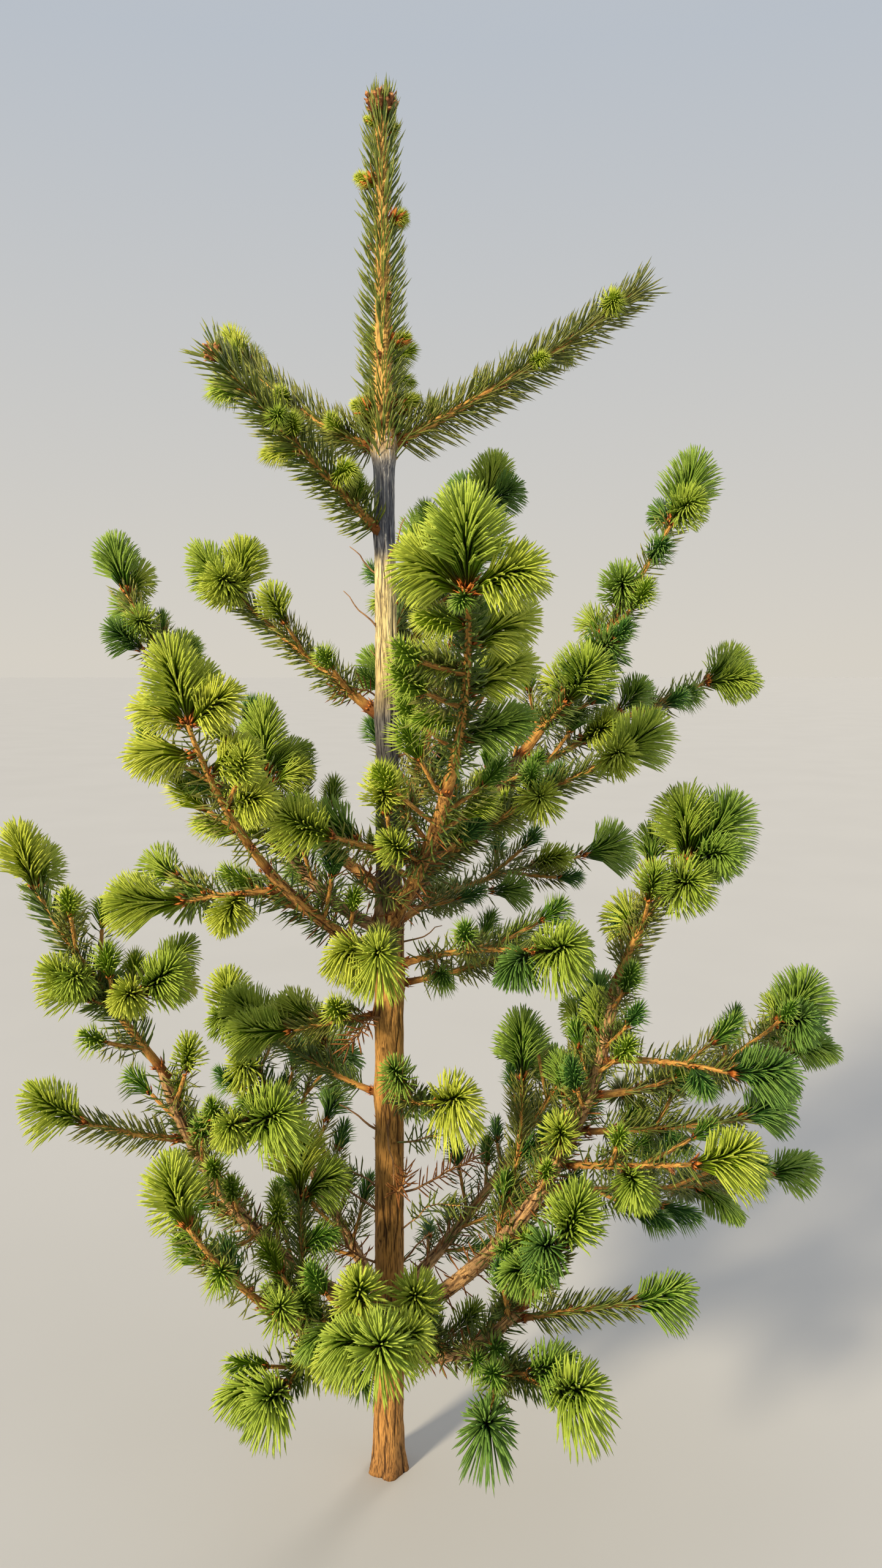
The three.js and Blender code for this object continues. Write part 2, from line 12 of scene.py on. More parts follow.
import bpy
import numpy as np
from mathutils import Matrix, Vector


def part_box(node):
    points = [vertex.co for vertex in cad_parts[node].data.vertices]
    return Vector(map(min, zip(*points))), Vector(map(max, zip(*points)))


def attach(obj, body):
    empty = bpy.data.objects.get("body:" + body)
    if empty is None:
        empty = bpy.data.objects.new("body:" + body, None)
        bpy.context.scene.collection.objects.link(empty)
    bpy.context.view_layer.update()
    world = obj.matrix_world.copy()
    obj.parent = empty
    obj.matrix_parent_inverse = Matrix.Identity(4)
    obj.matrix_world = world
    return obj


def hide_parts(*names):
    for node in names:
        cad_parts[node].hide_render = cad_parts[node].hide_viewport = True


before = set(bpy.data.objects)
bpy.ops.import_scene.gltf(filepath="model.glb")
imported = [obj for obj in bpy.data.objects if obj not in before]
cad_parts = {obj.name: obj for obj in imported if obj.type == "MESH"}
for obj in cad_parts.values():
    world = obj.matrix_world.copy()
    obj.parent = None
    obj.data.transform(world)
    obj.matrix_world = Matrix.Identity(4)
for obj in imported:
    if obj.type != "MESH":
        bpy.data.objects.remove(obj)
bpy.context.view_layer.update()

# %% [markdown]
# ## Camera
#
# The picture was taken from close by, a little above the middle of the tree, with a wide lens held upright.
# The lens and the place were worked out from the horizon and from the trunk's foot and top, so the camera is
# set once and nothing is turned or scaled to suit it.

# %% Camera
CAMERA_PLACE = (0.0363, -0.7223, 0.5539)
CAMERA_DIP = 6.4
LENS = 26.0
FILM = 36.0

camera = bpy.data.objects.new("camera", bpy.data.cameras.new("camera"))
camera.data.lens = LENS
camera.data.sensor_width = FILM
camera.location = CAMERA_PLACE
camera.rotation_euler = (math.radians(90 - CAMERA_DIP), 0, 0)
bpy.context.scene.collection.objects.link(camera)
bpy.context.scene.camera = camera
print("camera at", CAMERA_PLACE, "dipped by", CAMERA_DIP, "degrees")

# %% [markdown]
# ## Floor and light
#
# A plain pale floor keeps the eye on the tree. The evening sun came from the front left, so the key light is
# a low warm sun with a wide disc, which gives the soft edges that a studio has. A cool weak lamp opens the
# shadows on the right, and one from behind edges the needles. The sky is as pale as the far floor where they
# meet, so that no horizon cuts through the crown.

# %% Floor and lamps
FLOOR_HALF = 30.0
LAMP_AIM = (0.0, 0.0, 0.45)
# name, kind, place, size, power and colour
LAMPS = [
    ("key", "SUN", (-1.7, -1.9, 1.4), math.radians(8), 5.0, (1.0, 0.86, 0.62)),
    ("fill", "AREA", (1.6, -1.1, 0.9), 1.4, 3, (0.86, 0.93, 1.0)),
    ("back", "SUN", (0.9, 1.5, 1.5), math.radians(20), 0.9, (1.0, 0.92, 0.8)),
]


def add_lamp(name, kind, place, size, power, colour):
    lamp = bpy.data.objects.new(name, bpy.data.lights.new(name, kind))
    if kind == "SUN":
        lamp.data.angle = size
    else:
        lamp.data.size = size
    lamp.data.energy = power
    lamp.data.color = colour
    lamp.location = place
    way = np.subtract(LAMP_AIM, place)
    level = math.hypot(way[0], way[1])
    lamp.rotation_euler = (math.atan2(level, -way[2]), 0, math.atan2(way[1], way[0]) - math.pi / 2)
    bpy.context.scene.collection.objects.link(lamp)


for row in LAMPS:
    add_lamp(*row)

corners = [(x, y, 0) for x, y in ((-1, -1), (1, -1), (1, 1), (-1, 1))]
floor_mesh = bpy.data.meshes.new("floor")
floor_mesh.from_pydata([tuple(FLOOR_HALF * c for c in corner) for corner in corners], [], [(0, 1, 2, 3)])
floor = bpy.data.objects.new("floor", floor_mesh)
bpy.context.scene.collection.objects.link(floor)
print("lamps:", len(LAMPS))

# %% Sky
SKY_LOW = (0.97, 0.915, 0.815, 1)
SKY_HIGH = (0.70, 0.76, 0.84, 1)
SKY_BLEND = (0.0, 0.45)
SKY_STRENGTH = 0.69
world = bpy.data.worlds.new("sky")
world.use_nodes = True
sky = world.node_tree
way_up = sky.nodes.new("ShaderNodeSeparateXYZ")
sky.links.new(sky.nodes.new("ShaderNodeTexCoord").outputs["Generated"], way_up.inputs[0])
blend = sky.nodes.new("ShaderNodeMapRange")
blend.inputs["From Min"].default_value, blend.inputs["From Max"].default_value = SKY_BLEND
sky.links.new(way_up.outputs["Z"], blend.inputs["Value"])
ramp = sky.nodes.new("ShaderNodeValToRGB")
ramp.color_ramp.elements[0].color = SKY_LOW
ramp.color_ramp.elements[1].color = SKY_HIGH
sky.links.new(blend.outputs["Result"], ramp.inputs["Fac"])
sky.links.new(ramp.outputs["Color"], sky.nodes["Background"].inputs["Color"])
sky.nodes["Background"].inputs["Strength"].default_value = SKY_STRENGTH
bpy.context.scene.world = world
bpy.context.scene.view_settings.view_transform = "Standard"
print("sky from", SKY_LOW[:3], "to", SKY_HIGH[:3])

# %% [markdown]
# ## The tree's measures
#
# These are the sizes that the solids were made from, in millimetres and degrees: the trunk's radius at each
# height, one row for each bough, and one row for each spray of foliage. A bearing is a direction on the
# ground, 0 towards the right and 90 away from the viewer, and a rise is an angle above level. Repeating them
# lets the twigs and needles here start exactly where the solids are.

# %% Trunk and boughs
TRUNK_TOP = 880
TRUNK_PROFILE = [
    (0, 13.5), (14, 11.2), (40, 10.2), (104, 10.8), (125, 9.9), (240, 9.6), (350, 9.4), (384, 9.9),
    (410, 8.2), (520, 7.2), (660, 6.4), (684, 7.4), (700, 5.4), (800, 4.2), (880, 2.6),
]
TRUNK_LEAN = 2
TRUNK_SWAY = 1.6
TRUNK_SWAYS = 1.5
COLLAR = 0.3
COLLAR_LENGTH = 9
# name, height on the trunk, bearing, rise, turn and lift on its way, length, thickness at each end
BOUGHS = [
    ("front_tall", 378, -62, 44, -16, -2, 150, 9.5, 7),
    ("left_front", 358, -138, 27, 14, 18, 125, 8.5, 6),
    ("left_grey", 376, 190, 22, -30, 34, 88, 8.5, 6.5),
    ("left_long", 400, 140, 24, 26, 26, 175, 8, 5.5),
    ("right_tall", 386, 17, 45, -7, 8, 135, 10.5, 8.5),
    ("back_tall", 416, 80, 30, -8, 16, 120, 9, 6.5),
    ("left_low", 110, -160, 30, 8, 46, 250, 10, 6),
    ("right_low", 108, -38, 33, 50, 50, 300, 11.5, 6.5),
    ("right_front_low", 96, -66, 6, 40, 50, 150, 9, 6),
    ("left_front_low", 89, -119, 24, -18, 24, 140, 8.5, 5.5),
    ("back_left_low", 114, 122, 22, 14, 24, 130, 9, 6),
    ("back_right_low", 116, 52, 16, -16, 26, 140, 9, 6),
]
print("boughs:", len(BOUGHS), "with", sum(row[6] for row in BOUGHS), "mm of wood in all")

# %% Sprays
# name, what it grows on, height on the trunk or share of the bough, bearing, rise, turn, lift, length,
# thickness, tufts at the tip, tufts along the sides, how far they have opened, and its twigs: share along
# the shoot, bearing, rise, length, tufts
SPRAYS = [
    ("right_top_spray", "trunk", 683, 11, 27, 0, 11, 184, 6.5, 0, 4, 0.66, []),
    ("left_top_spray", "trunk", 681, 150, 20, 10, 26, 112, 6, 3, 3, 0.7, []),
    ("back_top_spray", "trunk", 680, 92, 50, 0, 10, 62, 5, 2, 2, 0.7, []),
    ("left_brown_spray", "trunk", 628, -133, 34, -14, 8, 138, 5.5, 0, 4, 0.75, []),
    ("left_mid_spray", "trunk", 513, 172, 38, 16, 4, 110, 6.5, 4, 0, 1, []),
    ("right_mid_spray", "trunk", 528, 58, 50, 0, -6, 165, 6, 3, 3, 1, []),
    ("back_high_spray", "trunk", 560, 78, 28, 0, 14, 100, 5.5, 2, 2, 1, []),
    ("front_tall_crown", "front_tall", 1, -78, 42, -16, -2, 156, 6.8, 5, 6, 1, []),
    ("left_front_crown", "left_front", 1, -124, 45, 12, 16, 110, 5.8, 4, 5, 1, []),
    ("left_grey_crown", "left_grey", 1, 152, 60, -20, 20, 52, 5.4, 2, 2, 1, []),
    ("left_long_crown", "left_long", 1, 166, 50, 14, 12, 112, 5.3, 2, 4, 1, []),
    ("right_tall_crown", "right_tall", 1, 10, 53, -8, 8, 182, 7.2, 3, 6, 1, [(0.12, -56, 36, 32, 1)]),
    ("back_tall_crown", "back_tall", 1, 74, 46, -6, 14, 110, 6, 3, 4, 1, [(0.2, 130, 30, 50, 2)]),
    ("left_low_crown", "left_low", 1, -161, 56, -24, 4, 132, 5.6, 2, 3, 1,
     [(0.38, -30, 24, 26, 3), (0.36, -140, 30, 14, 1)]),
    ("right_low_crown", "right_low", 1, 2, 72, 10, -26, 88, 5.8, 5, 2, 1.12, []),
    ("right_front_low_crown", "right_front_low", 1, -30, 56, -10, 6, 52, 5.6, 3, 1, 1, []),
    ("left_front_low_crown", "left_front_low", 1, -137, 46, -14, 14, 80, 5, 2, 3, 1, []),
    ("back_left_low_crown", "back_left_low", 1, 136, 40, 10, 18, 110, 5.6, 3, 4, 1, [(0.15, 80, 30, 60, 2)]),
    ("back_right_low_crown", "back_right_low", 1, 38, 40, -8, 18, 110, 5.6, 3, 4, 1, [(0.2, 92, 26, 60, 2)]),
    ("front_low_spray", "trunk", 116, -92, 22, 6, 6, 165, 6, 3, 2, 1, []),
    ("right_front_spray", "trunk", 388, -20, 46, 0, -22, 158, 5, 2, 2, 1, []),
    ("right_back_spray", "trunk", 378, 60, 10, -36, -6, 186, 5, 1, 2, 1, []),
    ("right_far_spray", "right_tall", 0.72, 24, 30, 8, -16, 180, 5, 2, 3, 1, []),
    ("left_side_spray", "left_front", 0.84, -166, -2, 0, -4, 52, 4.6, 1, 2, 1, []),
    ("front_left_spray", "front_tall", 0.5, -140, 22, -10, -4, 58, 4.6, 1, 1, 1, []),
    ("left_low_outer_spray", "left_low", 0.8, -158, 14, 0, 10, 58, 4.4, 1, 0, 1, []),
    ("left_low_inner_spray", "left_low", 0.82, -38, 20, 0, 0, 52, 4.4, 2, 0, 1, []),
    ("right_low_outer_spray", "right_low", 0.76, 26, -4, 12, 6, 172, 5, 3, 1, 1, [(0.5, 4, 34, 60, 3)]),
    ("right_low_front_spray", "right_low", 0.84, -28, 12, 0, -16, 74, 4.6, 1, 1, 1, []),
    ("right_low_middle_spray", "right_low", 0.68, -4, 2, 20, 0, 100, 4.4, 1, 1, 1, []),
    ("right_low_near_spray", "right_low", 0.6, -38, 14, 6, 2, 84, 4.8, 1, 1, 1, []),
    ("right_low_under_spray", "right_low", 0.54, 28, -16, 0, 12, 186, 5, 1, 1, 1, [(0.55, 60, -22, 60, 1)]),
    ("right_low_upright_spray", "right_low", 0.36, 60, 42, 20, 40, 100, 4.4, 1, 1, 1, []),
    ("right_front_outer_spray", "right_front_low", 0.92, 2, 8, 0, -2, 66, 4.4, 1, 0, 1, []),
    ("right_front_near_spray", "right_front_low", 0.66, -56, 10, 0, 6, 66, 4.4, 1, 0, 1,
     [(0.3, -100, 0, 40, 1)]),
    ("right_front_inner_spray", "right_front_low", 0.42, -100, 52, 0, -6, 66, 4.4, 1, 0, 1, []),
    ("left_front_star_spray", "left_front_low", 0.42, -78, 44, 0, -4, 96, 4.6, 1, 1, 1, []),
    ("left_front_down_spray", "left_front_low", 0.6, -104, 4, 0, 0, 46, 4.4, 2, 0, 1, []),
    ("left_front_dark_spray", "left_front_low", 0.72, 100, 68, 0, 0, 72, 4.4, 2, 1, 1, []),
    ("left_dipping_spray", "trunk", 322, -162, -4, 0, -2, 54, 4.2, 2, 1, 1, []),
    ("left_rising_spray", "trunk", 264, 166, 16, -6, 14, 76, 4.4, 2, 1, 1, []),
    ("front_short_spray", "trunk", 376, -94, 6, 8, 0, 84, 4.4, 2, 0, 1, []),
    ("front_right_spray", "trunk", 352, -34, 22, -22, -16, 116, 4.8, 3, 0, 1, []),
    ("front_middle_spray", "trunk", 262, -64, 18, 0, 0, 62, 4.2, 1, 0, 1, []),
    ("right_short_spray", "trunk", 340, 22, 4, 0, 10, 104, 4.4, 0, 1, 1, [(0.3, -6, 20, 66, 0)]),
]
SPRAY_NAMES = [row[0] for row in SPRAYS]
TOP_SPRAYS = [row[0] for row in SPRAYS if row[11] < 1]
SLEEVE_NAMES = ["leader_lower_needles", "leader_upper_needles"]
print("sprays:", len(SPRAYS), "with", sum(row[9] + row[10] for row in SPRAYS), "tufts on their stems")

# %% [markdown]
# ## Directions and curved lines
#
# A bough or a shoot leaves at an angle and then bends a little at every step, as a real one does towards the
# light. So its line is a sum of short steps whose direction turns evenly. The helpers work on whole arrays of
# directions, because thousands of needles need them at once.

# %% Directions
UP = np.array([0.0, 0.0, 1.0])
STRAIGHT_UP = 0.05


def unit(ways):
    return ways / np.maximum(np.linalg.norm(ways, axis=-1, keepdims=True), 1e-9)


def heading(bearing, rise):
    east, north = np.cos(np.radians(bearing)), np.sin(np.radians(bearing))
    level = np.cos(np.radians(rise))
    return np.stack(np.broadcast_arrays(level * east, level * north, np.sin(np.radians(rise))), -1)


def lean(way, away, angle):
    """The direction that leaves way by an angle towards away, which is square to it."""
    turn = np.radians(np.asarray(angle))[..., None]
    return way * np.cos(turn) + away * np.sin(turn)


def beside(way):
    """The level direction to the right of each way. Straight up has none, and takes +X."""
    side = np.cross(way, UP)
    steep = np.linalg.norm(side, axis=-1, keepdims=True) < STRAIGHT_UP
    return unit(np.where(steep, np.array([1.0, 0.0, 0.0]), side))


def spokes(way, turn):
    """Directions square to way, as a wheel's spokes are to its axle, turned round it by angles in radians."""
    side = beside(way)
    turn = np.asarray(turn)[..., None]
    return side * np.cos(turn) + np.cross(side, way) * np.sin(turn)


def fork(way, angle, roll):
    """The direction that leaves way by an angle, on the side that the roll round it gives."""
    return lean(way, spokes(way, np.radians(roll)), angle)


print("the direction at bearing 90 and rise 30:", heading(90, 30).round(3))

# %% Curved lines
ARC_STEPS = 24


def heading_on(aim, share):
    return heading(aim["bearing"] + aim["turn"] * share, aim["rise"] + aim["lift"] * share)


def arc(start, aim):
    middles = (np.arange(ARC_STEPS) + 0.5) / ARC_STEPS
    steps = heading_on(aim, middles) * aim["length"] / ARC_STEPS
    return np.vstack([start, start + np.cumsum(steps, axis=0)])


def point_on(points, share):
    places = np.linspace(0, 1, len(points))
    return np.stack([np.interp(share, places, column) for column in points.T], -1)


def trunk_axis(height):
    share = np.asarray(height) / TRUNK_TOP
    east = TRUNK_LEAN * share + TRUNK_SWAY * np.sin(TRUNK_SWAYS * np.pi * share)
    return np.stack([east, 0 * share, np.asarray(height) * 1.0], -1)


def trunk_radius(height):
    return np.interp(height, *zip(*TRUNK_PROFILE))


print("the trunk's top:", trunk_axis(TRUNK_TOP).round(2), "mm")

# %% [markdown]
# ## Growing the sprays
#
# On the real tree every twig ends in a bud that has opened into one tuft straight ahead and some to its
# sides, and smaller tufts stand along it. The same seeded numbers that the solids used give each tuft the
# same place, direction and length here. A hand-placed list would do as well, but a rule can be read.

# %% Seeded numbers
SEED = 4100
WORD = 0xFFFFFFFF
SEED_STRIDE = 0x6D2B79F5


def seeded(seed):
    """Numbers from 0 to 1, the same on every run."""
    state = seed & WORD

    def draw():
        nonlocal state
        state = (state + SEED_STRIDE) & WORD
        mixed = ((state ^ (state >> 15)) * (state | 1)) & WORD
        again = ((mixed ^ (mixed >> 7)) * (mixed | 61)) & WORD
        mixed = (mixed ^ (mixed + again)) & WORD
        return (mixed ^ (mixed >> 14)) / 2**32

    return draw


print("the first number:", round(seeded(SEED)(), 4))

# %% Boughs and the foot of each spray
SEAT = 0.4


def bough_radius(bough, share):
    share = np.asarray(share)
    collar = 1 + COLLAR * np.exp(-share * bough["length"] / COLLAR_LENGTH)
    return (bough["thick"] + (bough["thin"] - bough["thick"]) * share) / 2 * collar


boughs = {}
for row in BOUGHS:
    bough = dict(zip(("name", "at", "bearing", "rise", "turn", "lift", "length", "thick", "thin"), row))
    bough["points"] = arc(trunk_axis(bough["at"]), bough)
    boughs[bough["name"]] = bough


def foot_of(spray):
    """Where a spray's stem starts: just clear of the end or the side of what carries it."""
    aim = heading(spray["bearing"], spray["rise"])
    half = spray["thick"] / 2
    if spray["on"] == "trunk":
        level = math.cos(math.radians(spray["rise"]))
        reach = (trunk_radius(spray["at"]) + SEAT + half * abs(aim[2])) / level
        return trunk_axis(spray["at"]) + aim * reach
    bough = boughs[spray["on"]]
    way = heading_on(bough, spray["at"])
    spot = point_on(bough["points"], spray["at"])
    across = np.linalg.norm(np.cross(aim, way))
    if spray["at"] == 1:
        return spot + way * (SEAT + half * across)
    return spot + aim * (bough_radius(bough, spray["at"]) + SEAT + half * abs(aim @ way)) / across


print("bough tips reach", max(b["points"][-1][2] for b in boughs.values()).round(1), "mm high")

# %% Shoots and tufts
TWIG_TIP, TWIG_THICK = 2.4, 3.6
# A tuft's length, its angle to the shoot and its side: for the one straight ahead of the tip, for those that
# fork off round the tip, and for those along the sides. The spreads say how much each of these varies.
TIP_TUFT, SIDE_TUFT = 43, 34
AHEAD_SIZE, FORKED_SIZE = 1.06, 0.88
TIP_SIZE_SPREAD, SIDE_SIZE_SPREAD = 0.1, 0.18
AHEAD_FORK, TIP_FORK, SIDE_FORK = 6, 50, 56
AHEAD_SPREAD, FORK_SPREAD = 5, 7
AHEAD_ROLL, TIP_ROLLS, SIDE_ROLLS = 90, (15, 165, 88, -80), (8, 172)
TIP_ROLL_SPREAD, SIDE_ROLL_SPREAD = 14, 26
SIDES_FROM, SIDES_SPAN, SIDES_SPREAD = 0.9, 0.66, 0.2
SINK = 2.5


def new_tuft(foot, along, way, length):
    """A tuft and the way it leans out from the shoot that it stands on."""
    return {"foot": foot, "way": way, "out": way - along * (way @ along), "length": length}


def new_twig(foot, bearing, rise, lift, length, thick, spray):
    aim = {"bearing": bearing, "rise": rise, "turn": 0, "lift": lift, "length": length, "thick": thick}
    return {**aim, "points": arc(foot, aim), "spray": spray}


def tip_tuft(shoot, k, spray, vary):
    way = heading_on(shoot, 1)
    if k == 0:
        angle, roll, size = vary(AHEAD_FORK, AHEAD_SPREAD), AHEAD_ROLL, AHEAD_SIZE
    else:
        angle = vary(TIP_FORK, FORK_SPREAD)
        roll = TIP_ROLLS[(k - 1) % len(TIP_ROLLS)] + vary(0, TIP_ROLL_SPREAD)
        size = FORKED_SIZE
    length = TIP_TUFT * spray["open"] * vary(size, TIP_SIZE_SPREAD)
    return new_tuft(shoot["points"][-1] - SINK * way, way, fork(way, angle, roll), length)


def side_tuft(shoot, k, spray, vary):
    share = SIDES_FROM - SIDES_SPAN * (k + vary(0.5, SIDES_SPREAD)) / spray["sides"]
    along = heading_on(shoot, share)
    way = fork(along, vary(SIDE_FORK, FORK_SPREAD), SIDE_ROLLS[k % 2] + vary(0, SIDE_ROLL_SPREAD))
    length = SIDE_TUFT * spray["open"] * vary(1, SIDE_SIZE_SPREAD)
    return new_tuft(point_on(shoot["points"], share), along, way, length)


print("a tuft at a tip is", TIP_TUFT, "mm long, and one on a side", SIDE_TUFT, "mm")

# %% Growing each spray
def grow(spray, seed):
    """The shoots and the tufts of one spray."""
    draw = seeded(seed)

    def vary(middle, spread):
        return middle + spread * (2 * draw() - 1)

    name = spray["name"]
    stem = {**spray, "points": arc(spray["foot"], spray), "spray": name}
    shoots = [stem]
    tufts = [tip_tuft(stem, k, spray, vary) for k in range(spray["tips"])]
    tufts += [side_tuft(stem, k, spray, vary) for k in range(spray["sides"])]
    for share, bearing, rise, length, tips in spray["twigs"]:
        foot = point_on(stem["points"], share)
        twig = new_twig(foot, bearing, rise, 0, length, TWIG_THICK, name)
        shoots.append(twig)
        tufts += [tip_tuft(twig, k, spray, vary) for k in range(tips)]
    return shoots, [{**tuft, "spray": name} for tuft in tufts]


KEYS = ("name", "on", "at", "bearing", "rise", "turn", "lift", "length", "thick", "tips", "sides", "open",
        "twigs")
shoots, tufts = [], []
for index, row in enumerate(SPRAYS):
    spray = dict(zip(KEYS, row))
    spray["foot"] = foot_of(spray)
    new_shoots, new_tufts = grow(spray, SEED + index)
    shoots += new_shoots
    tufts += new_tufts
print("shoots:", len(shoots), "tufts:", len(tufts))

# %% [markdown]
# ## Keeping within the solids' reach
#
# Each spray's solid says how far that spray reaches. A tuft whose tip would stand well outside its solid's
# box had no room there, so it is left out here too. The same test serves for the finer twigs that follow.

# %% Reach of each spray
MM = 0.001
REACH_SLACK = 6
# The tufts are this much longer than the cores in the solids, and the weak ones under a shoot shorter.
FULLER = 1.16
UNDER_SIZE = 0.5
HANG_GAIN, HANG_FROM, OUT_GAIN = 2, 0.6, 2
boxes = {name: np.array(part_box(name)) / MM for name in SPRAY_NAMES + list(boughs)}


def within(name, point, slack=REACH_SLACK):
    low, high = boxes[name]
    return bool(np.all(point > low - slack) and np.all(point < high + slack))


def tuft_tip(tuft):
    return tuft["foot"] + tuft["way"] * tuft["length"]


def hanging(tuft):
    """1 for a tuft that points down from under its shoot, where buds stay weak, and 0 beside and above."""
    down = float(np.clip(-HANG_GAIN * unit(tuft["out"])[2] - HANG_FROM, 0, 1))
    return down * min(1.0, OUT_GAIN * np.linalg.norm(tuft["out"]))


kept = [tuft for tuft in tufts if within(tuft["spray"], tuft_tip(tuft))]
print("tufts with room:", len(kept), "of", len(tufts))
tufts = [{**tuft, "length": tuft["length"] * FULLER * (1 - UNDER_SIZE * hanging(tuft))} for tuft in kept]

# %% [markdown]
# ## Finer twigs
#
# Between the strong shoots a spruce carries short side twigs, a few centimetres long, each with a small tuft.
# They are what makes a real crown look dense close up. They fork off by the same rule as the tufts, one for
# about every two centimetres of a shoot, and one that would leave its spray is skipped.

# %% Finer twigs
FINE_SEED = 9300
FINE_STEP, FINE_SPAN = 23, (0.06, 0.7)
BOUGH_STEP, BOUGH_SPAN, BOUGH_ROOM = 15, (0.28, 0.96), 34
FINE_THICK, FINE_LIFT = 2.6, 8
FINE_LENGTH, FINE_LENGTHS = 26, (0.7, 1.4)
FINE_TUFT, FINE_TUFTS = 31, (0.8, 1.25)
FINE_FORK, FINE_SPREAD, FINE_ROLL = 50, 8, 42
# The shoots of the top whorl have just opened: a side twig on every fourth place only, all of them small,
# and tufts whose needles are still crowded.
TOP_EVERY, TOP_TWIG, TOP_TUFT, OPENING_CROWD = 4, 0.2, 0.62, 1.8
# Where in its own step each of many things in a row may stand.
IN_STEP = (0.2, 0.8)


def finer_twigs(stem, sprays, step, span, draw, own=None):
    """Side twigs along a stem, each with the length of its tuft, where a spray or its own bough has room."""
    count = int(stem["length"] / step)
    young = stem.get("open", 1) < 1
    made = []
    for k in range(count):
        share = span[0] + (span[1] - span[0]) * (k + draw.uniform(*IN_STEP)) / count
        roll = SIDE_ROLLS[(k + 1) % 2] + draw.uniform(-FINE_ROLL, FINE_ROLL)
        way = fork(heading_on(stem, share), FINE_FORK + draw.uniform(-FINE_SPREAD, FINE_SPREAD), roll)
        length = FINE_LENGTH * draw.uniform(*FINE_LENGTHS) * (TOP_TWIG if young else 1)
        tuft_length = FINE_TUFT * draw.uniform(*FINE_TUFTS) * (TOP_TUFT if young else 1)
        if young and k % TOP_EVERY:
            continue
        foot = point_on(stem["points"], share)
        tip = foot + way * (length + tuft_length)
        room = [name for name in sprays if within(name, tip)]
        if room or (own and within(own, tip, BOUGH_ROOM)):
            bearing, rise = math.degrees(math.atan2(way[1], way[0])), math.degrees(math.asin(way[2]))
            twig = new_twig(foot, bearing, rise, FINE_LIFT, length, FINE_THICK, (room or sprays)[0])
            made.append((twig, tuft_length))
    return made


draw = np.random.default_rng(FINE_SEED)
grown = []
for shoot in shoots:
    grown += finer_twigs(shoot, [shoot["spray"]], FINE_STEP, FINE_SPAN, draw)
on_shoots = len(grown)
for bough in boughs.values():
    own_sprays = [row[0] for row in SPRAYS if row[1] == bough["name"]]
    grown += finer_twigs(bough, own_sprays, BOUGH_STEP, BOUGH_SPAN, draw, bough["name"])
fine_shoots = [twig for twig, tuft_length in grown]
for twig, tuft_length in grown:
    way = heading_on(twig, 1)
    tufts.append({**new_tuft(twig["points"][-1] - way, way, way, tuft_length), "spray": twig["spray"]})
for tuft in tufts:
    tuft["crowd"] = OPENING_CROWD if tuft["spray"] in TOP_SPRAYS else 1
print("finer twigs:", on_shoots, "on shoots,", len(grown) - on_shoots, "on boughs, tufts in all:", len(tufts))

# %% [markdown]
# ## Turning arrays into pieces
#
# Adding a hundred thousand needles one by one would take Blender minutes. A mesh's vertices and faces can be
# handed over as whole arrays instead, which takes moments. A bundle gathers the points and faces of many
# small bodies and makes one joined piece of them, with a number for each face that picks its finish.

# %% Bundles
# The mark on each point of bark holds painted shade in fissures, grooves, hollows and round the feet of
# stems, and the knots' own dark.
MARK, PLACE = "knot_dark_and_painted_shade", "stem_place"


class Bundle:
    def __init__(self):
        self.points, self.faces, self.places = [], [], []
        self.finishes, self.marks = [], []
        self.count = 0

    def add(self, points, faces, places=None, finish=0, mark=0.0):
        """Points and triangles, where each point lies on its stem, each face's finish, each point's mark."""
        self.points.append(points)
        self.faces.append(faces + self.count)
        self.places.append(points if places is None else places)
        self.finishes.append(np.broadcast_to(finish, len(faces)))
        self.marks.append(np.broadcast_to(mark, len(points)))
        self.count += len(points)

    def piece(self, name, materials, nodes, slot, stem=False):
        points = np.concatenate(self.points) * MM
        faces = np.concatenate(self.faces)
        mesh = bpy.data.meshes.new(name)
        mesh.vertices.add(len(points))
        mesh.vertices.foreach_set("co", points.astype(np.float32).ravel())
        mesh.loops.add(faces.size)
        mesh.loops.foreach_set("vertex_index", faces.astype(np.int32).ravel())
        mesh.polygons.add(len(faces))
        mesh.polygons.foreach_set("loop_start", np.arange(0, faces.size, 3, dtype=np.int32))
        for material in materials:
            mesh.materials.append(material)
        mesh.polygons.foreach_set("material_index", np.concatenate(self.finishes).astype(np.int32))
        if stem:
            layer = mesh.attributes.new(MARK, "FLOAT", "POINT")
            layer.data.foreach_set("value", np.concatenate(self.marks).astype(np.float32))
            layer = mesh.attributes.new(PLACE, "FLOAT_VECTOR", "POINT")
            layer.data.foreach_set("vector", (np.concatenate(self.places) * MM).astype(np.float32).ravel())
        mesh.update(calc_edges=True)
        mesh.shade_smooth()
        piece = bpy.data.objects.new(name, mesh)
        bpy.context.scene.collection.objects.link(piece)
        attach(piece, "root")
        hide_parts(*nodes)
        print(f"{name}: {len(faces)} triangles")


print("kept for each point of bark:", MARK, "and", PLACE)

# %% [markdown]
# ## Tubes
#
# Trunk, boughs and twigs are all tubes that taper and bend. A curve with a bevel would give a smooth pipe,
# but bark needs its own height at every point. So the tube is a grid of rings and sides, and each point may
# stand in or out of the smooth surface by a relief.

# %% Tubes
def side_frames(points):
    """Two directions across the line at each point, carried along it without twisting."""
    ways = unit(np.gradient(points, axis=0))
    side = beside(ways[0])
    sides = []
    for way in ways:
        side = unit(side - way * (side @ way))
        sides.append(side)
    sides = np.array(sides)
    return sides, np.cross(ways, sides)


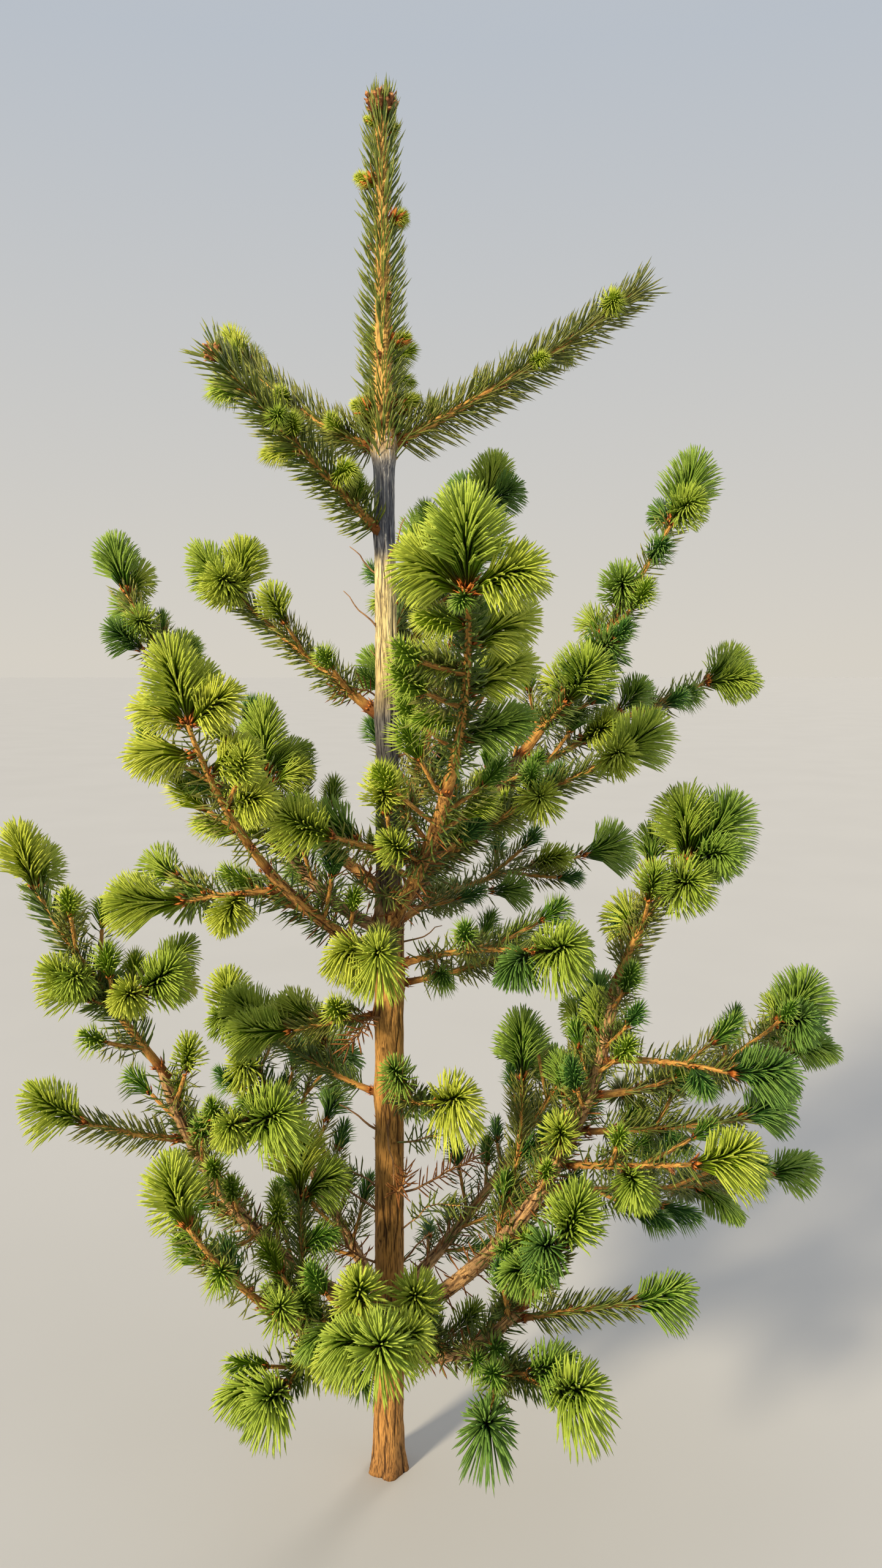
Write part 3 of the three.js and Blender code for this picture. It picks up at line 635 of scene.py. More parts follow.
def ring_faces(rings, sides):
    """Triangles between the rings of a tube, and fans from a point at each of its ends."""
    first = np.arange(rings - 1)[:, None] * sides
    here = first + np.arange(sides)
    following = first + (np.arange(sides) + 1) % sides
    above = here + sides
    walls = [np.stack([here, following, above], -1), np.stack([following, following + sides, above], -1)]
    around = np.arange(sides)
    onward = (around + 1) % sides
    foot, tip = rings * sides, rings * sides + 1
    last = (rings - 1) * sides
    fans = [
        np.stack([np.full(sides, foot), onward, around], -1),
        np.stack([np.full(sides, tip), last + around, last + onward], -1),
    ]
    return np.concatenate([w.reshape(-1, 3) for w in walls] + fans)


def tube(points, radii, sides, relief=0.0, across=None):
    """A closed tube round the points, and each vertex's place on the stem if the stem stood straight up.

    The relief has a row for each point and a column for each side.
    """
    side, up = across or side_frames(points)
    turn = 2 * np.pi * np.arange(sides) / sides
    out = side[:, None] * np.cos(turn)[None, :, None] + up[:, None] * np.sin(turn)[None, :, None]
    reach = np.broadcast_to(np.asarray(radii)[:, None] + relief, out.shape[:2])
    surface = (points[:, None] + out * reach[..., None]).reshape(-1, 3)
    # Each stem starts at a height of its own in the bark's pattern, so that stems don't look alike.
    start = abs(points[0].sum())
    along = np.append(0, np.cumsum(np.linalg.norm(np.diff(points, axis=0), axis=1))) + start
    straight = np.stack([reach * np.cos(turn), reach * np.sin(turn), np.repeat(along[:, None], sides, 1)], -1)
    ends = np.array([[0, 0, along[0]], [0, 0, along[-1]]])
    places = np.vstack([straight.reshape(-1, 3), ends])
    return np.vstack([surface, points[0], points[-1]]), ring_faces(len(points), sides), places


def add_stem(bundle, points, radii, sides, relief, mark, across=None):
    """A tube with a mark for each point of its relief. The middles of its two ends have none."""
    bundle.add(*tube(points, radii, sides, relief, across), mark=np.append(mark.ravel(), [0, 0]))


print("triangles of a tube with 3 rings and 6 sides:", len(ring_faces(3, 6)))

# %% [markdown]
# ## Bark relief
#
# Spruce bark of this age splits into long thin strips. So a fissure is a line that runs up the stem, wavers,
# and opens and closes again. It is computed for the vertices, because a crack that is only painted on
# vanishes at the stem's outline. Lumps are a sum of a few long waves.

# %% Fissures and lumps
# A fissure wavers in a long and a short wave, and a third wave opens and closes it. These are the least and
# the greatest length of each, and how far the line strays and the first two push it, in gaps between lines.
WAVES_FROM, WAVES_TO = (70, 16, 40), (150, 34, 110)
LINE_PUSH, LONG_PUSH, SHORT_PUSH = 0.3, 0.4, 0.14
OPEN_GAIN, OPEN_MIDDLE = 1.4, 0.5
LUMP_TURNS, LUMP_PITCHES = (1, 5), (0.05, 0.35)


def fissures(around, along, lines, half_width, seed):
    """1 in the middle of a fissure, falling to 0 beside it. Around goes from 0 to 1 round the stem."""
    draw = np.random.default_rng(seed)
    deepest = np.zeros(around.shape)
    for line in range(lines):
        pitches = 2 * np.pi / draw.uniform(WAVES_FROM, WAVES_TO)
        waves = np.sin(along[..., None] * pitches + draw.uniform(0, 2 * np.pi, 3))
        middle = line + draw.uniform(-LINE_PUSH, LINE_PUSH)
        middle = (middle + LONG_PUSH * waves[..., 0] + SHORT_PUSH * waves[..., 1]) / lines
        gap = np.abs((around - middle + 0.5) % 1 - 0.5)
        open_here = np.clip(OPEN_GAIN * waves[..., 2] + OPEN_MIDDLE, 0, 1)
        deepest = np.maximum(deepest, np.clip(1 - gap / half_width, 0, 1) * open_here)
    return deepest


def lumps(around, along, waves, seed, turns=LUMP_TURNS, pitches=LUMP_PITCHES):
    """A swell from -1 to 1 over a stem: a sum of waves with so many turns and so steep a pitch."""
    draw = np.random.default_rng(seed)
    total = np.zeros(np.broadcast(around, along).shape)
    for _ in range(waves):
        turn, pitch, phase = draw.integers(*turns), draw.uniform(*pitches), draw.uniform(0, 2 * np.pi)
        total = total + np.sin(2 * np.pi * turn * around + pitch * along + phase)
    return total / waves


print("fissures waver in waves of", WAVES_FROM[:2], "to", WAVES_TO[:2], "mm")

# %% Trunk bark
TRUNK_RINGS, TRUNK_SIDES = 440, 72
# how many fissures, half the width of one as a share of the way round, and the seed
DEEP_LINES, THIN_LINES = (14, 0.019, 51), (34, 0.0142, 52)
FISSURE_DEPTH, STRIP_DEPTH, THIN_SHADE = 1.0, 0.5, 0.6
LUMP_HEIGHT, TRUNK_LUMPS, TRUNK_LUMP_SEED = 0.3, 7, 53
# The leader's young bark has only so much of this, and it fades over a stretch below the leader.
LEADER_BARK_FROM, BARK_FADE, YOUNG_BARK = 690, 60, 0.25
trunk_heights = np.linspace(0, TRUNK_TOP, TRUNK_RINGS)
grid_turn, grid_height = np.meshgrid(np.arange(TRUNK_SIDES) / TRUNK_SIDES, trunk_heights)
deep_fissures = fissures(grid_turn, grid_height, *DEEP_LINES)
thin_fissures = fissures(grid_turn, grid_height, *THIN_LINES)
rough = np.clip((LEADER_BARK_FROM - grid_height) / BARK_FADE, YOUNG_BARK, 1)
trunk_relief = LUMP_HEIGHT * lumps(grid_turn, grid_height, TRUNK_LUMPS, TRUNK_LUMP_SEED)
trunk_relief -= rough * (FISSURE_DEPTH * deep_fissures + STRIP_DEPTH * thin_fissures)
print("bark relief from", trunk_relief.min().round(2), "to", trunk_relief.max().round(2), "mm")

# %% [markdown]
# ## Knots on the trunk
#
# A bough that died long ago leaves a knot, a low swell with a dark hollow. The bark also swells round each
# living stem that leaves the trunk, and painted shade darkens it there. Both are round bumps laid over the
# relief, and their dark goes into the same mark that holds the painted shade of the cracks.

# %% Knots and feet of stems
# height, bearing, how far it stands out, its radius and how dark its middle is
KNOTS = [
    (677, -62, 1.8, 6, 0), (592, -104, 0.8, 4, 0.8), (520, -66, 0.7, 3, 0.9), (452, -78, 0.9, 4, 0.9),
    (300, -112, 0.9, 5, 0.8), (236, -70, 0.7, 4, 0.8), (168, -124, 0.9, 4, 0.8), (60, -80, 0.8, 5, 0.7),
    (560, 120, 0.9, 4, 0.8), (330, 60, 0.9, 4, 0.8), (200, 160, 0.9, 5, 0.8),
]
# A knot's middle is a hollow, so deep and so wide beside its radius, and its dark spot is a little wider.
HOLLOW_DEPTH, HOLLOW_WIDE, DARK_WIDE = 0.8, 0.35, 0.4
# The bark swells round each stem and is painted dark there as shade, over a spot that is taller than wide.
STEM_SWELL, STEM_WIDE, STEM_TALL, STEM_SHADE = 1.6, 6.5, 0.7, 0.55


def distance_from(height, bearing, flatten=1.0):
    """How far each point of the trunk's bark is from a spot on it, in millimetres."""
    turned = (grid_turn - bearing / 360 + 0.5) % 1 - 0.5
    return np.hypot(turned * 2 * np.pi * trunk_radius(height), (grid_height - height) * flatten)


knot_dark_and_stem_shade = np.zeros(grid_turn.shape)
for height, bearing, stand, radius, dark in KNOTS:
    far = distance_from(height, bearing) / radius
    trunk_relief += stand * np.exp(-far**2) - HOLLOW_DEPTH * dark * np.exp(-(far / HOLLOW_WIDE) ** 2)
    knot_dark_and_stem_shade = np.maximum(knot_dark_and_stem_shade, dark * np.exp(-(far / DARK_WIDE) ** 2))
for shoot in shoots:
    if shoot.get("on") == "trunk":
        height = shoot["at"] + trunk_radius(shoot["at"]) * math.tan(math.radians(shoot["rise"]))
        near = np.exp(-((distance_from(height, shoot["bearing"], STEM_TALL) / STEM_WIDE) ** 2))
        trunk_relief += STEM_SWELL * near
        knot_dark_and_stem_shade = np.maximum(knot_dark_and_stem_shade, STEM_SHADE * near)
print("knots:", len(KNOTS), "darkest mark:", knot_dark_and_stem_shade.max().round(2))

# %% Trunk
FLARE_LOBES, FLARE_DEPTH, FLARE_HEIGHT, FLARE_TURN = 5, 1.1, 16, 0.7
flare = np.exp(-grid_height / FLARE_HEIGHT)
trunk_relief += FLARE_DEPTH * flare * np.cos(2 * np.pi * FLARE_LOBES * grid_turn + FLARE_TURN)
# The trunk's mark: painted shade in the fissures and round each stem's foot, and the knots' own dark.
trunk_mark = np.maximum(rough * np.maximum(deep_fissures, THIN_SHADE * thin_fissures), knot_dark_and_stem_shade)
# Each ring starts at +X and goes on towards +Y, so that bearings hold on it.
level_sides = (np.tile([1.0, 0, 0], (TRUNK_RINGS, 1)), np.tile([0, 1.0, 0], (TRUNK_RINGS, 1)))
trunk_line, trunk_radii = trunk_axis(trunk_heights), trunk_radius(trunk_heights)
trunk_bundle = Bundle()
add_stem(trunk_bundle, trunk_line, trunk_radii, TRUNK_SIDES, trunk_relief, trunk_mark, level_sides)
print("trunk relief from", trunk_relief.min().round(2), "to", trunk_relief.max().round(2), "mm")

# %% Boughs
BOUGH_SIDES, BOUGH_RING = 24, 1.7
# A bough runs on past the end of its solid, into the twig that carries its crown, and is slimmer there.
BOUGH_PAST_END, BOUGH_END = 2.5, 0.6
BOUGH_LINES, BOUGH_LINE_HALF, BOUGH_FISSURE_DEPTH = 7, 0.05, 0.45
BOUGH_LUMPS, FLAKES, FLAKE_HEIGHT, FLAKE_SHADE = 6, 9, 0.5, 1.6
FLAKE_TURNS, FLAKE_PITCHES = (3, 10), (-1.2, 1.2)
FISSURE_SEED, LUMP_SEED, FLAKE_SEED = 60, 80, 100
bough_bundles = {}
for index, bough in enumerate(boughs.values()):
    share = np.linspace(0, 1, int(bough["length"] / BOUGH_RING))
    line = point_on(bough["points"], share)
    line[-1] += heading_on(bough, 1) * BOUGH_PAST_END
    around, along = np.meshgrid(np.arange(BOUGH_SIDES) / BOUGH_SIDES, share * bough["length"])
    fissure = fissures(around, along, BOUGH_LINES, BOUGH_LINE_HALF, FISSURE_SEED + index)
    flakes = lumps(around, along, FLAKES, FLAKE_SEED + index, FLAKE_TURNS, FLAKE_PITCHES)
    relief = LUMP_HEIGHT * lumps(around, along, BOUGH_LUMPS, LUMP_SEED + index)
    relief = relief + FLAKE_HEIGHT * flakes - BOUGH_FISSURE_DEPTH * fissure
    # The fissures and the hollows between flakes are painted dark as shade.
    deep = np.clip(np.maximum(fissure, -FLAKE_SHADE * flakes), 0, 1)
    radii = bough_radius(bough, share)
    radii[-1] *= BOUGH_END
    bough_bundles[bough["name"]] = Bundle()
    add_stem(bough_bundles[bough["name"]], line, radii, BOUGH_SIDES, relief, deep)
print("bough pieces:", len(bough_bundles))

# %% [markdown]
# ## Twigs with pegs
#
# A spruce twig is rough to the touch. Every needle stands on a small woody peg that runs down the twig as a
# ridge, and the peg stays when the needle falls. The ridges are part of the twig's relief and swell where
# pegs stand, and the pegs are short thorns of their own.

# %% Twigs
# Every second side is a ridge, so the sides are as many as ridges and grooves together.
TWIG_SIDES = 10
TWIG_RING, FEWEST_RINGS = 3.2, 6
# A spray's stem starts inside what carries it, so many times its thickness back, and is darker at its foot:
# partly its own reddish bark and partly painted shade where it joins what carries it.
TWIG_BACK = 1.35
FOOT_SWELL, FOOT_LENGTH = 0.3, 5.0
# The ridges' depth, the stem's radius at which it is full, and the least share of it on a thin twig.
RIDGE_DEPTH, RIDGE_FULL, RIDGE_LEAST = 0.24, 3, 0.35
RIDGE_STEP, RIDGE_SHIFT, RIDGE_EVEN, RIDGE_WAVE = 7.0, 1.7, 0.6, 0.4
# The grooves between the ridges are painted dark as shade, by this much at most.
GROOVE_SHADE = 0.35


def shoot_radius(shoot, share):
    return (shoot["thick"] + (TWIG_TIP - shoot["thick"]) * np.asarray(share)) / 2


def add_twig(bundle, shoot):
    """A twig with ridges along it that swell towards each needle's peg."""
    share = np.linspace(0, 1, max(FEWEST_RINGS, int(shoot["length"] / TWIG_RING)))
    line, radii = point_on(shoot["points"], share), shoot_radius(shoot, share)
    line[0] -= heading_on(shoot, 0) * TWIG_BACK * shoot["thick"] * ("on" in shoot)
    foot = np.exp(-share * shoot["length"] / FOOT_LENGTH) * ("on" in shoot)
    swell = 1 + FOOT_SWELL * foot * (shoot.get("on") == "trunk")
    side, along = np.meshgrid(np.arange(TWIG_SIDES), share * shoot["length"])
    wave = RIDGE_EVEN + RIDGE_WAVE * np.sin(2 * np.pi * along / RIDGE_STEP + side * RIDGE_SHIFT)
    ridge = np.where(side % 2, 1.0, -1.0) * wave
    relief = RIDGE_DEPTH * ridge * np.clip(radii / RIDGE_FULL, RIDGE_LEAST, 1)[:, None]
    mark = np.maximum(GROOVE_SHADE - GROOVE_SHADE * ridge, np.sqrt(foot)[:, None])
    add_stem(bundle, line, radii * swell, TWIG_SIDES, relief, mark)


twig_bundle = Bundle()
for shoot in shoots + fine_shoots:
    add_twig(twig_bundle, shoot)
print("twig points:", twig_bundle.count)

# %% [markdown]
# ## Needles
#
# A needle is a slim body with three sides and a blunt point. It narrows to a point at its root too, or is
# open where it stands in its twig. Its middle line is a curve pulled towards a knee, so a soft needle can
# leave its shoot along it and bend away. The roots, knees, tips and widths of many needles come as arrays and
# are worked out together. The outer stretch has a finish of its own, since needles are paler there: partly
# their own colour, and partly painted light, sunlit tips over bodies in their own shade. Flattened and wide,
# the same body is a bud scale.

# %% Needles
NEEDLE_SIDES = 3
# For each kind of needle: where its rings of corners stand along it, and how wide it is at each, as shares.
SOFT_NEEDLE = ((0.5, 0.91), (1.0, 0.86))
SMALL_NEEDLE = ((0, 0.66), (0.75, 1.0))
HARD_NEEDLE = ((0, 0.74), (0.85, 0.95))
SLIM_NEEDLE = ((0.55,), (1.0,))
SCALE_FORM = ((0, 0.6), (0.75, 1.0))
CUP_SCALE_FORM = ((0.5,), (1.0,))
PEG_FORM = ((0,), (1.0,))


def needle_faces(rings, pointed):
    """The faces of one needle and which of them belong to its outer stretch.

    The tip follows the rings, and a root that is a point follows the tip.
    """
    tip = rings * NEEDLE_SIDES
    faces, outer = [], []
    for ring in range(rings):
        low = ring * NEEDLE_SIDES
        outside = int(ring > 0 or pointed)
        for a in range(NEEDLE_SIDES):
            b = (a + 1) % NEEDLE_SIDES
            if ring == rings - 1:
                faces.append([low + a, low + b, tip])
                outer.append(outside)
            else:
                above = low + NEEDLE_SIDES
                faces += [[low + a, low + b, above + a], [low + b, above + b, above + a]]
                outer += [outside] * 2
            if pointed and ring == 0:
                faces.append([tip + 1, b, a])
                outer.append(0)
    return np.array(faces), np.array(outer)


def add_needles(bundle, roots, knees, tips, widths, form=SOFT_NEEDLE, flat=1.0, across=None, finishes=(0, 1)):
    """Needles with these roots, knees, tips and widths. Across is the way in which a flat one is wide."""
    places, swell = form
    across = beside(tips - roots) if across is None else across
    rows = []
    for place, share in zip(places, swell):
        spot = roots * (1 - place) ** 2 + knees * 2 * place * (1 - place) + tips * place**2
        way = unit((knees - roots) * (1 - place) + (tips - knees) * place)
        over = np.cross(unit(across - way * np.sum(across * way, -1, keepdims=True)), way) * flat
        for corner in range(NEEDLE_SIDES):
            turn = 2 * np.pi * corner / NEEDLE_SIDES
            out = across * math.cos(turn) - over * math.sin(turn)
            rows.append(spot + out * (widths * share / 2)[:, None])
    rows.append(tips)
    pointed = places[0] > 0
    if pointed:
        rows.append(roots)
    points = np.stack(rows, 1)
    faces, outer = needle_faces(len(swell), pointed)
    faces = faces[None] + (np.arange(len(roots)) * points.shape[1])[:, None, None]
    finish = np.tile(np.where(outer, finishes[1], finishes[0]), len(roots))
    bundle.add(points.reshape(-1, 3), faces.reshape(-1, 3), finish=finish)


print("triangles of a soft needle:", len(needle_faces(len(SOFT_NEEDLE[0]), True)[0]))

# %% [markdown]
# ## New tufts
#
# A new shoot is a soft brush. Its needles leave the bud in a tight bundle, bend out and end on a common
# dome, so from the side it looks like a shaving brush and from the front like a star. So the tips are spread
# evenly over a dome first. The needles of its rim grow from the shoot's foot and those of its crown from
# near its tip. The shoot itself arches outwards, and weight pulls it down a little.

# %% New tufts
# Each thing in a row stands this far round its shoot from the one before, as on most plants.
GOLDEN_ANGLE = 137.5
GOLDEN_TURN = math.radians(GOLDEN_ANGLE)
# For tufts of these lengths, the needles on each millimetre. One shorter than SMALL_TUFT has plainer needles.
TUFT_SIZES, TUFT_DENSITY = (30, 44), (2.8, 4.2)
SMALL_TUFT = 36
# The dome: how far up its middle is, how far back its rim reaches, how deep and wide it is, and how crowded.
TUFT_AXIS = 0.64
DOME_RIM = math.cos(math.radians(108))
DOME_DEEP, DOME_WIDE, DOME_WIDTHS = 0.3, 0.4, (0.9, 1.12)
DOME_CROWD, ROOTS_CROWD = 1.15, 0.8
ROOTS_TOP, ROOTS_FOOT = 0.56, 0.02
TURN_SPREAD, LENGTH_SPREAD = 0.14, 0.055
KNEE, KNEE_OUT = 0.55, 0.2
NEW_WIDTH, WIDTHS, FULL_LENGTH = 1.0, (0.85, 1.1), 40
CROWD_SLIMS = 0.4
ARCH, WANDER, WEIGHT, LIFT = 1.0, 0.34, 0.8, 0.5
SAG, LOW_SAG, LOW_THIN, LOW_WIDE = 0.2, 0.35, 0.3, 0.25
LOW_FROM, LOW_UP_TO = 140, 420
DROOPING = {"front_short_spray": 0.35, "front_right_spray": 0.2, "front_middle_spray": 0.15}
# Each tuft is partly a brush too, whose needles point along the shoot and don't end on the dome.
BRUSH_TOP, BRUSH_REACH, BRUSH_ANGLES = 0.68, 0.42, (10, 50)
BRUSH_MOST = 0.55


def lowness(tuft):
    """1 for tufts near the ground, which are coarser and hang more, falling to 0 on the way up."""
    return float(np.interp(tuft["foot"][2], (LOW_FROM, LOW_UP_TO), (1, 0)))


def add_tuft(bundle, tuft, draw):
    """The needles of one tuft, from the crown of its dome to the rim."""
    length, low = tuft["length"], lowness(tuft)
    count = int(length * np.interp(length, TUFT_SIZES, TUFT_DENSITY) * tuft["crowd"] * (1 - LOW_THIN * low))
    place = (np.arange(count) + draw.uniform(*IN_STEP, count)) / count
    spread = np.linalg.norm(tuft["out"])
    pull = LIFT * (1 - spread) - WEIGHT * spread
    final = unit(tuft["way"] + ARCH * tuft["out"] + WANDER * draw.uniform(-1, 1, 3) + pull * UP)

    def axis(share):
        return tuft["foot"] + (tuft["way"] * (share - share**2 / 2) + final * share**2 / 2) * length

    brush = draw.uniform(0, BRUSH_MOST)
    top = ROOTS_TOP + (BRUSH_TOP - ROOTS_TOP) * brush
    rooted = (top + (ROOTS_FOOT - top) * place**ROOTS_CROWD)[:, None]
    ways = unit(tuft["way"] * (1 - rooted) + final * rooted)
    roots = axis(rooted)
    out = spokes(final, np.arange(count) * GOLDEN_TURN + draw.normal(0, TURN_SPREAD, count))
    rise = (1 - place**DOME_CROWD * (1 - DOME_RIM))[:, None]
    wide = DOME_WIDE * draw.uniform(*DOME_WIDTHS)
    ragged = length * draw.normal(1, LENGTH_SPREAD, count)[:, None]
    tips = axis(TUFT_AXIS) + (final * rise * DOME_DEEP + out * np.sqrt(1 - rise**2) * wide) * ragged
    angle = BRUSH_ANGLES[0] + (BRUSH_ANGLES[1] - BRUSH_ANGLES[0]) * place
    brushed = roots + lean(ways, out, angle) * BRUSH_REACH * ragged
    tips += brush * (brushed - tips)
    reach = np.linalg.norm(tips - roots, axis=-1, keepdims=True)
    knees = roots + (ways + KNEE_OUT * out) * reach * KNEE
    sag = SAG + LOW_SAG * low + DROOPING.get(tuft["spray"], 0)
    tips = tips - UP * sag * reach * (1 - np.abs(unit(tips - roots)[:, 2:]))
    widths = NEW_WIDTH * draw.uniform(*WIDTHS, count) * float(np.clip(length / FULL_LENGTH, *WIDTHS))
    widths = widths * (1 + LOW_WIDE * low) / tuft["crowd"] ** CROWD_SLIMS
    add_needles(bundle, roots, knees, tips, widths, SOFT_NEEDLE if length > SMALL_TUFT else SMALL_NEEDLE)


# Height, bearing, rise and length of the few small tufts open on the leader, and the size of their cups.
LEADER_TUFTS = [
    (836, 196, 34, 17, 1.6), (814, -10, 40, 17, 1.6), (742, -14, 44, 18, 1.6), (705, 10, 38, 24, 1.6),
    (702, 186, 38, 20, 1.6), (871, 186, 50, 11, 0.8), (866, 4, 50, 12, 0.8),
]
LEADER_CROWD = 3
for height, bearing, rise, length, cup in LEADER_TUFTS:
    foot = trunk_axis(height) + heading(bearing, 0) * trunk_radius(height)
    tuft = new_tuft(foot, UP, heading(bearing, rise), length)
    tufts.append({**tuft, "spray": "left_top_spray", "cup": cup, "crowd": LEADER_CROWD, "tint": 0})
print("tufts with those on the leader:", len(tufts))

# %% Tints of the new tufts
# The tints, from bright to deep. A spray on the far side from the sun takes a deeper tint, which is painted
# shade, and so does a weak or a low one. Nothing shades the tufts on the top whorl, so they take no painted
# shade.
TINTS = 5
SUNNY_TINT, SHADE_TINT, TINT_SPREAD = 0.22, 0.5, 0.17
WEAK_TINT, LOW_TINT = 0.14, 0.18
TOP_TINT, TOP_SPREAD = 0.28, 0.1
SUN = heading(-128, 30)
TUFT_SEED = 7100


def tint_of(tuft, draw):
    if "tint" in tuft:
        return tuft["tint"]
    if tuft["spray"] in TOP_SPRAYS:
        tint = TOP_TINT + draw.normal(0, TOP_SPREAD)
    else:
        shade = 0.5 - 0.5 * float(unit(tuft["foot"] - trunk_axis(tuft["foot"][2])) @ SUN)
        weak = (WEAK_TINT if tuft["length"] < SMALL_TUFT else 0) + LOW_TINT * lowness(tuft)
        tint = SUNNY_TINT + SHADE_TINT * shade + weak + draw.normal(0, TINT_SPREAD)
    return int(np.clip(TINTS * tint, 0, TINTS - 1))


draw = np.random.default_rng(TUFT_SEED)
new_bundles = [Bundle() for _ in range(TINTS)]
for tuft in tufts:
    add_tuft(new_bundles[tint_of(tuft, draw)], tuft, draw)
print("new needle points by tint:", [bundle.count for bundle in new_bundles])

# %% [markdown]
# ## Old needles
#
# Last year's needles are shorter, harder and darker. They stand out all round the twig, lean forward near
# its tip, and those underneath hang like a comb. Older wood has lost most of them, and a few have dried
# to orange. One helper clothes any line, so twigs, boughs and the leader share it.

# %% Old needles
OLD_SEED, OLD_TINTS = 7700, 3
OLD_WIDTH, OLD_LENGTHS = 1.2, (0.8, 1.1)
OLD_TURN_SPREAD, OLD_ANGLE_SPREAD = 0.3, 4
# A needle leaves its twig at more than its angle and ends at less, bent up, or down on the underside.
START_MORE, END_LESS, HANG, BEND_UP, BEND_DOWN = 4, 14, 0.3, 0.35, 1.5
ROOT_DEPTH = 0.8
PEG_LENGTH, PEG_LENGTHS, PEG_WIDTH, PEG_SINK = 1.9, (0.7, 1.2), 1.3, 0.3
NEARBY = 0.02
peg_bundle = Bundle()


def ways_on(line, share):
    """The direction of a line at each share of it, from the points a little before and after."""
    ahead, behind = np.minimum(share + NEARBY, 1), np.maximum(share - NEARBY, 0)
    return unit(point_on(line, ahead) - point_on(line, behind))


def clothe(bundles, line, radii, count, span, length, angles, draw, hang=HANG, peg=1.0, form=HARD_NEEDLE):
    """Sets count needles along a line with these radii, evenly apart.

    Their angle to the line goes from the first to the second one given.
    """
    place = (np.arange(count) + draw.uniform(0, 1, count)) / count
    share = span[0] + (span[1] - span[0]) * place
    ways = ways_on(line, share)
    radius = np.interp(share, np.linspace(0, 1, len(radii)), radii)
    out = spokes(ways, np.arange(count) * GOLDEN_TURN + draw.normal(0, OLD_TURN_SPREAD, count))
    angle = angles[0] + (angles[1] - angles[0]) * place + draw.normal(0, OLD_ANGLE_SPREAD, count)
    starts = lean(ways, out, angle + START_MORE)
    below = np.clip(-out[:, 2], 0, 1)[:, None]
    ends = unit(lean(ways, out, angle - END_LESS) + hang * UP * (BEND_UP - BEND_DOWN * below))
    roots = point_on(line, share) + out * (radius * ROOT_DEPTH)[:, None]
    half = (length / 2 * draw.uniform(*OLD_LENGTHS, count))[:, None]
    widths = OLD_WIDTH * draw.uniform(*WIDTHS, count)
    tint = draw.integers(0, len(bundles))
    knees = roots + starts * half
    add_needles(bundles[tint], roots, knees, knees + ends * half, widths, form)
    if peg:
        base = roots - starts * PEG_SINK
        tips = roots + starts * (PEG_LENGTH * peg * draw.uniform(*PEG_LENGTHS, count))[:, None]
        widths = np.full(count, PEG_WIDTH * peg**0.5)
        add_needles(peg_bundle, base, roots, tips, widths, PEG_FORM, finishes=(0, 0))


# needles for each mm, their length, and their angles to the twig at its foot and its tip
THIN = (1.1, 14, (82, 62))
FULL = (2.3, 15, (64, 40))
DENSE = (3.4, 21, (60, 36))
FULL_SHARE = 0.6
BARE_FOOT = 0.12
draw = np.random.default_rng(OLD_SEED)
old_bundles = [Bundle() for _ in range(OLD_TINTS)]
for shoot in shoots + fine_shoots:
    is_full, is_top = draw.uniform() < FULL_SHARE, shoot["spray"] in TOP_SPRAYS
    per_mm, length, angles = DENSE if is_top else FULL if is_full else THIN
    span = (0 if is_top else BARE_FOOT, 1)
    peg, form = (0, SLIM_NEEDLE) if shoot["thick"] == FINE_THICK else (1, HARD_NEEDLE)
    radii = shoot_radius(shoot, np.array([0, 1]))
    count = int(shoot["length"] * per_mm)
    clothe(old_bundles, shoot["points"], radii, count, span, length, angles, draw, HANG, peg, form)
print("old needle points by tint:", [bundle.count for bundle in old_bundles])

# %% Needles on the boughs and the leader
BOUGH_NEEDLES_PER_MM, BOUGH_NEEDLES_FROM = 0.8, 0.4
BOUGH_NEEDLE, BOUGH_ANGLES = 14, (72, 54)
DRY_PER_MM, DRY_SPAN, DRY_NEEDLE, DRY_ANGLES, DRY_HANG = 0.3, (0.12, 0.75), 13, (84, 62), 0.5
dry_bundle = Bundle()
for bough in boughs.values():
    line, length = bough["points"], bough["length"]
    radii = bough_radius(bough, np.linspace(0, 1, ARC_STEPS))
    count = int(length * (1 - BOUGH_NEEDLES_FROM) * BOUGH_NEEDLES_PER_MM)
    clothe(old_bundles, line, radii, count, (BOUGH_NEEDLES_FROM, 1), BOUGH_NEEDLE, BOUGH_ANGLES, draw)
    count = int(length * DRY_PER_MM)
    clothe([dry_bundle], line, radii, count, DRY_SPAN, DRY_NEEDLE, DRY_ANGLES, draw, DRY_HANG)

# From and to which height, how many needles, their length and their angles at the foot and the top.
LEADER_NEEDLES = [
    ((686, 879), 600, 20, (56, 32)), ((674, 700), 70, 24, (44, 28)), ((868, 879), 64, 22, (24, 12)),
]
LEADER_PEG = 2.4
for span, count, length, angles in LEADER_NEEDLES:
    heights = np.linspace(*span, ARC_STEPS)
    line, radii = trunk_axis(heights), trunk_radius(heights)
    clothe(old_bundles[:1], line, radii, count, (0, 1), length, angles, draw, 0.0, LEADER_PEG)
print("pegs with needles:", peg_bundle.count // (NEEDLE_SIDES + 1))

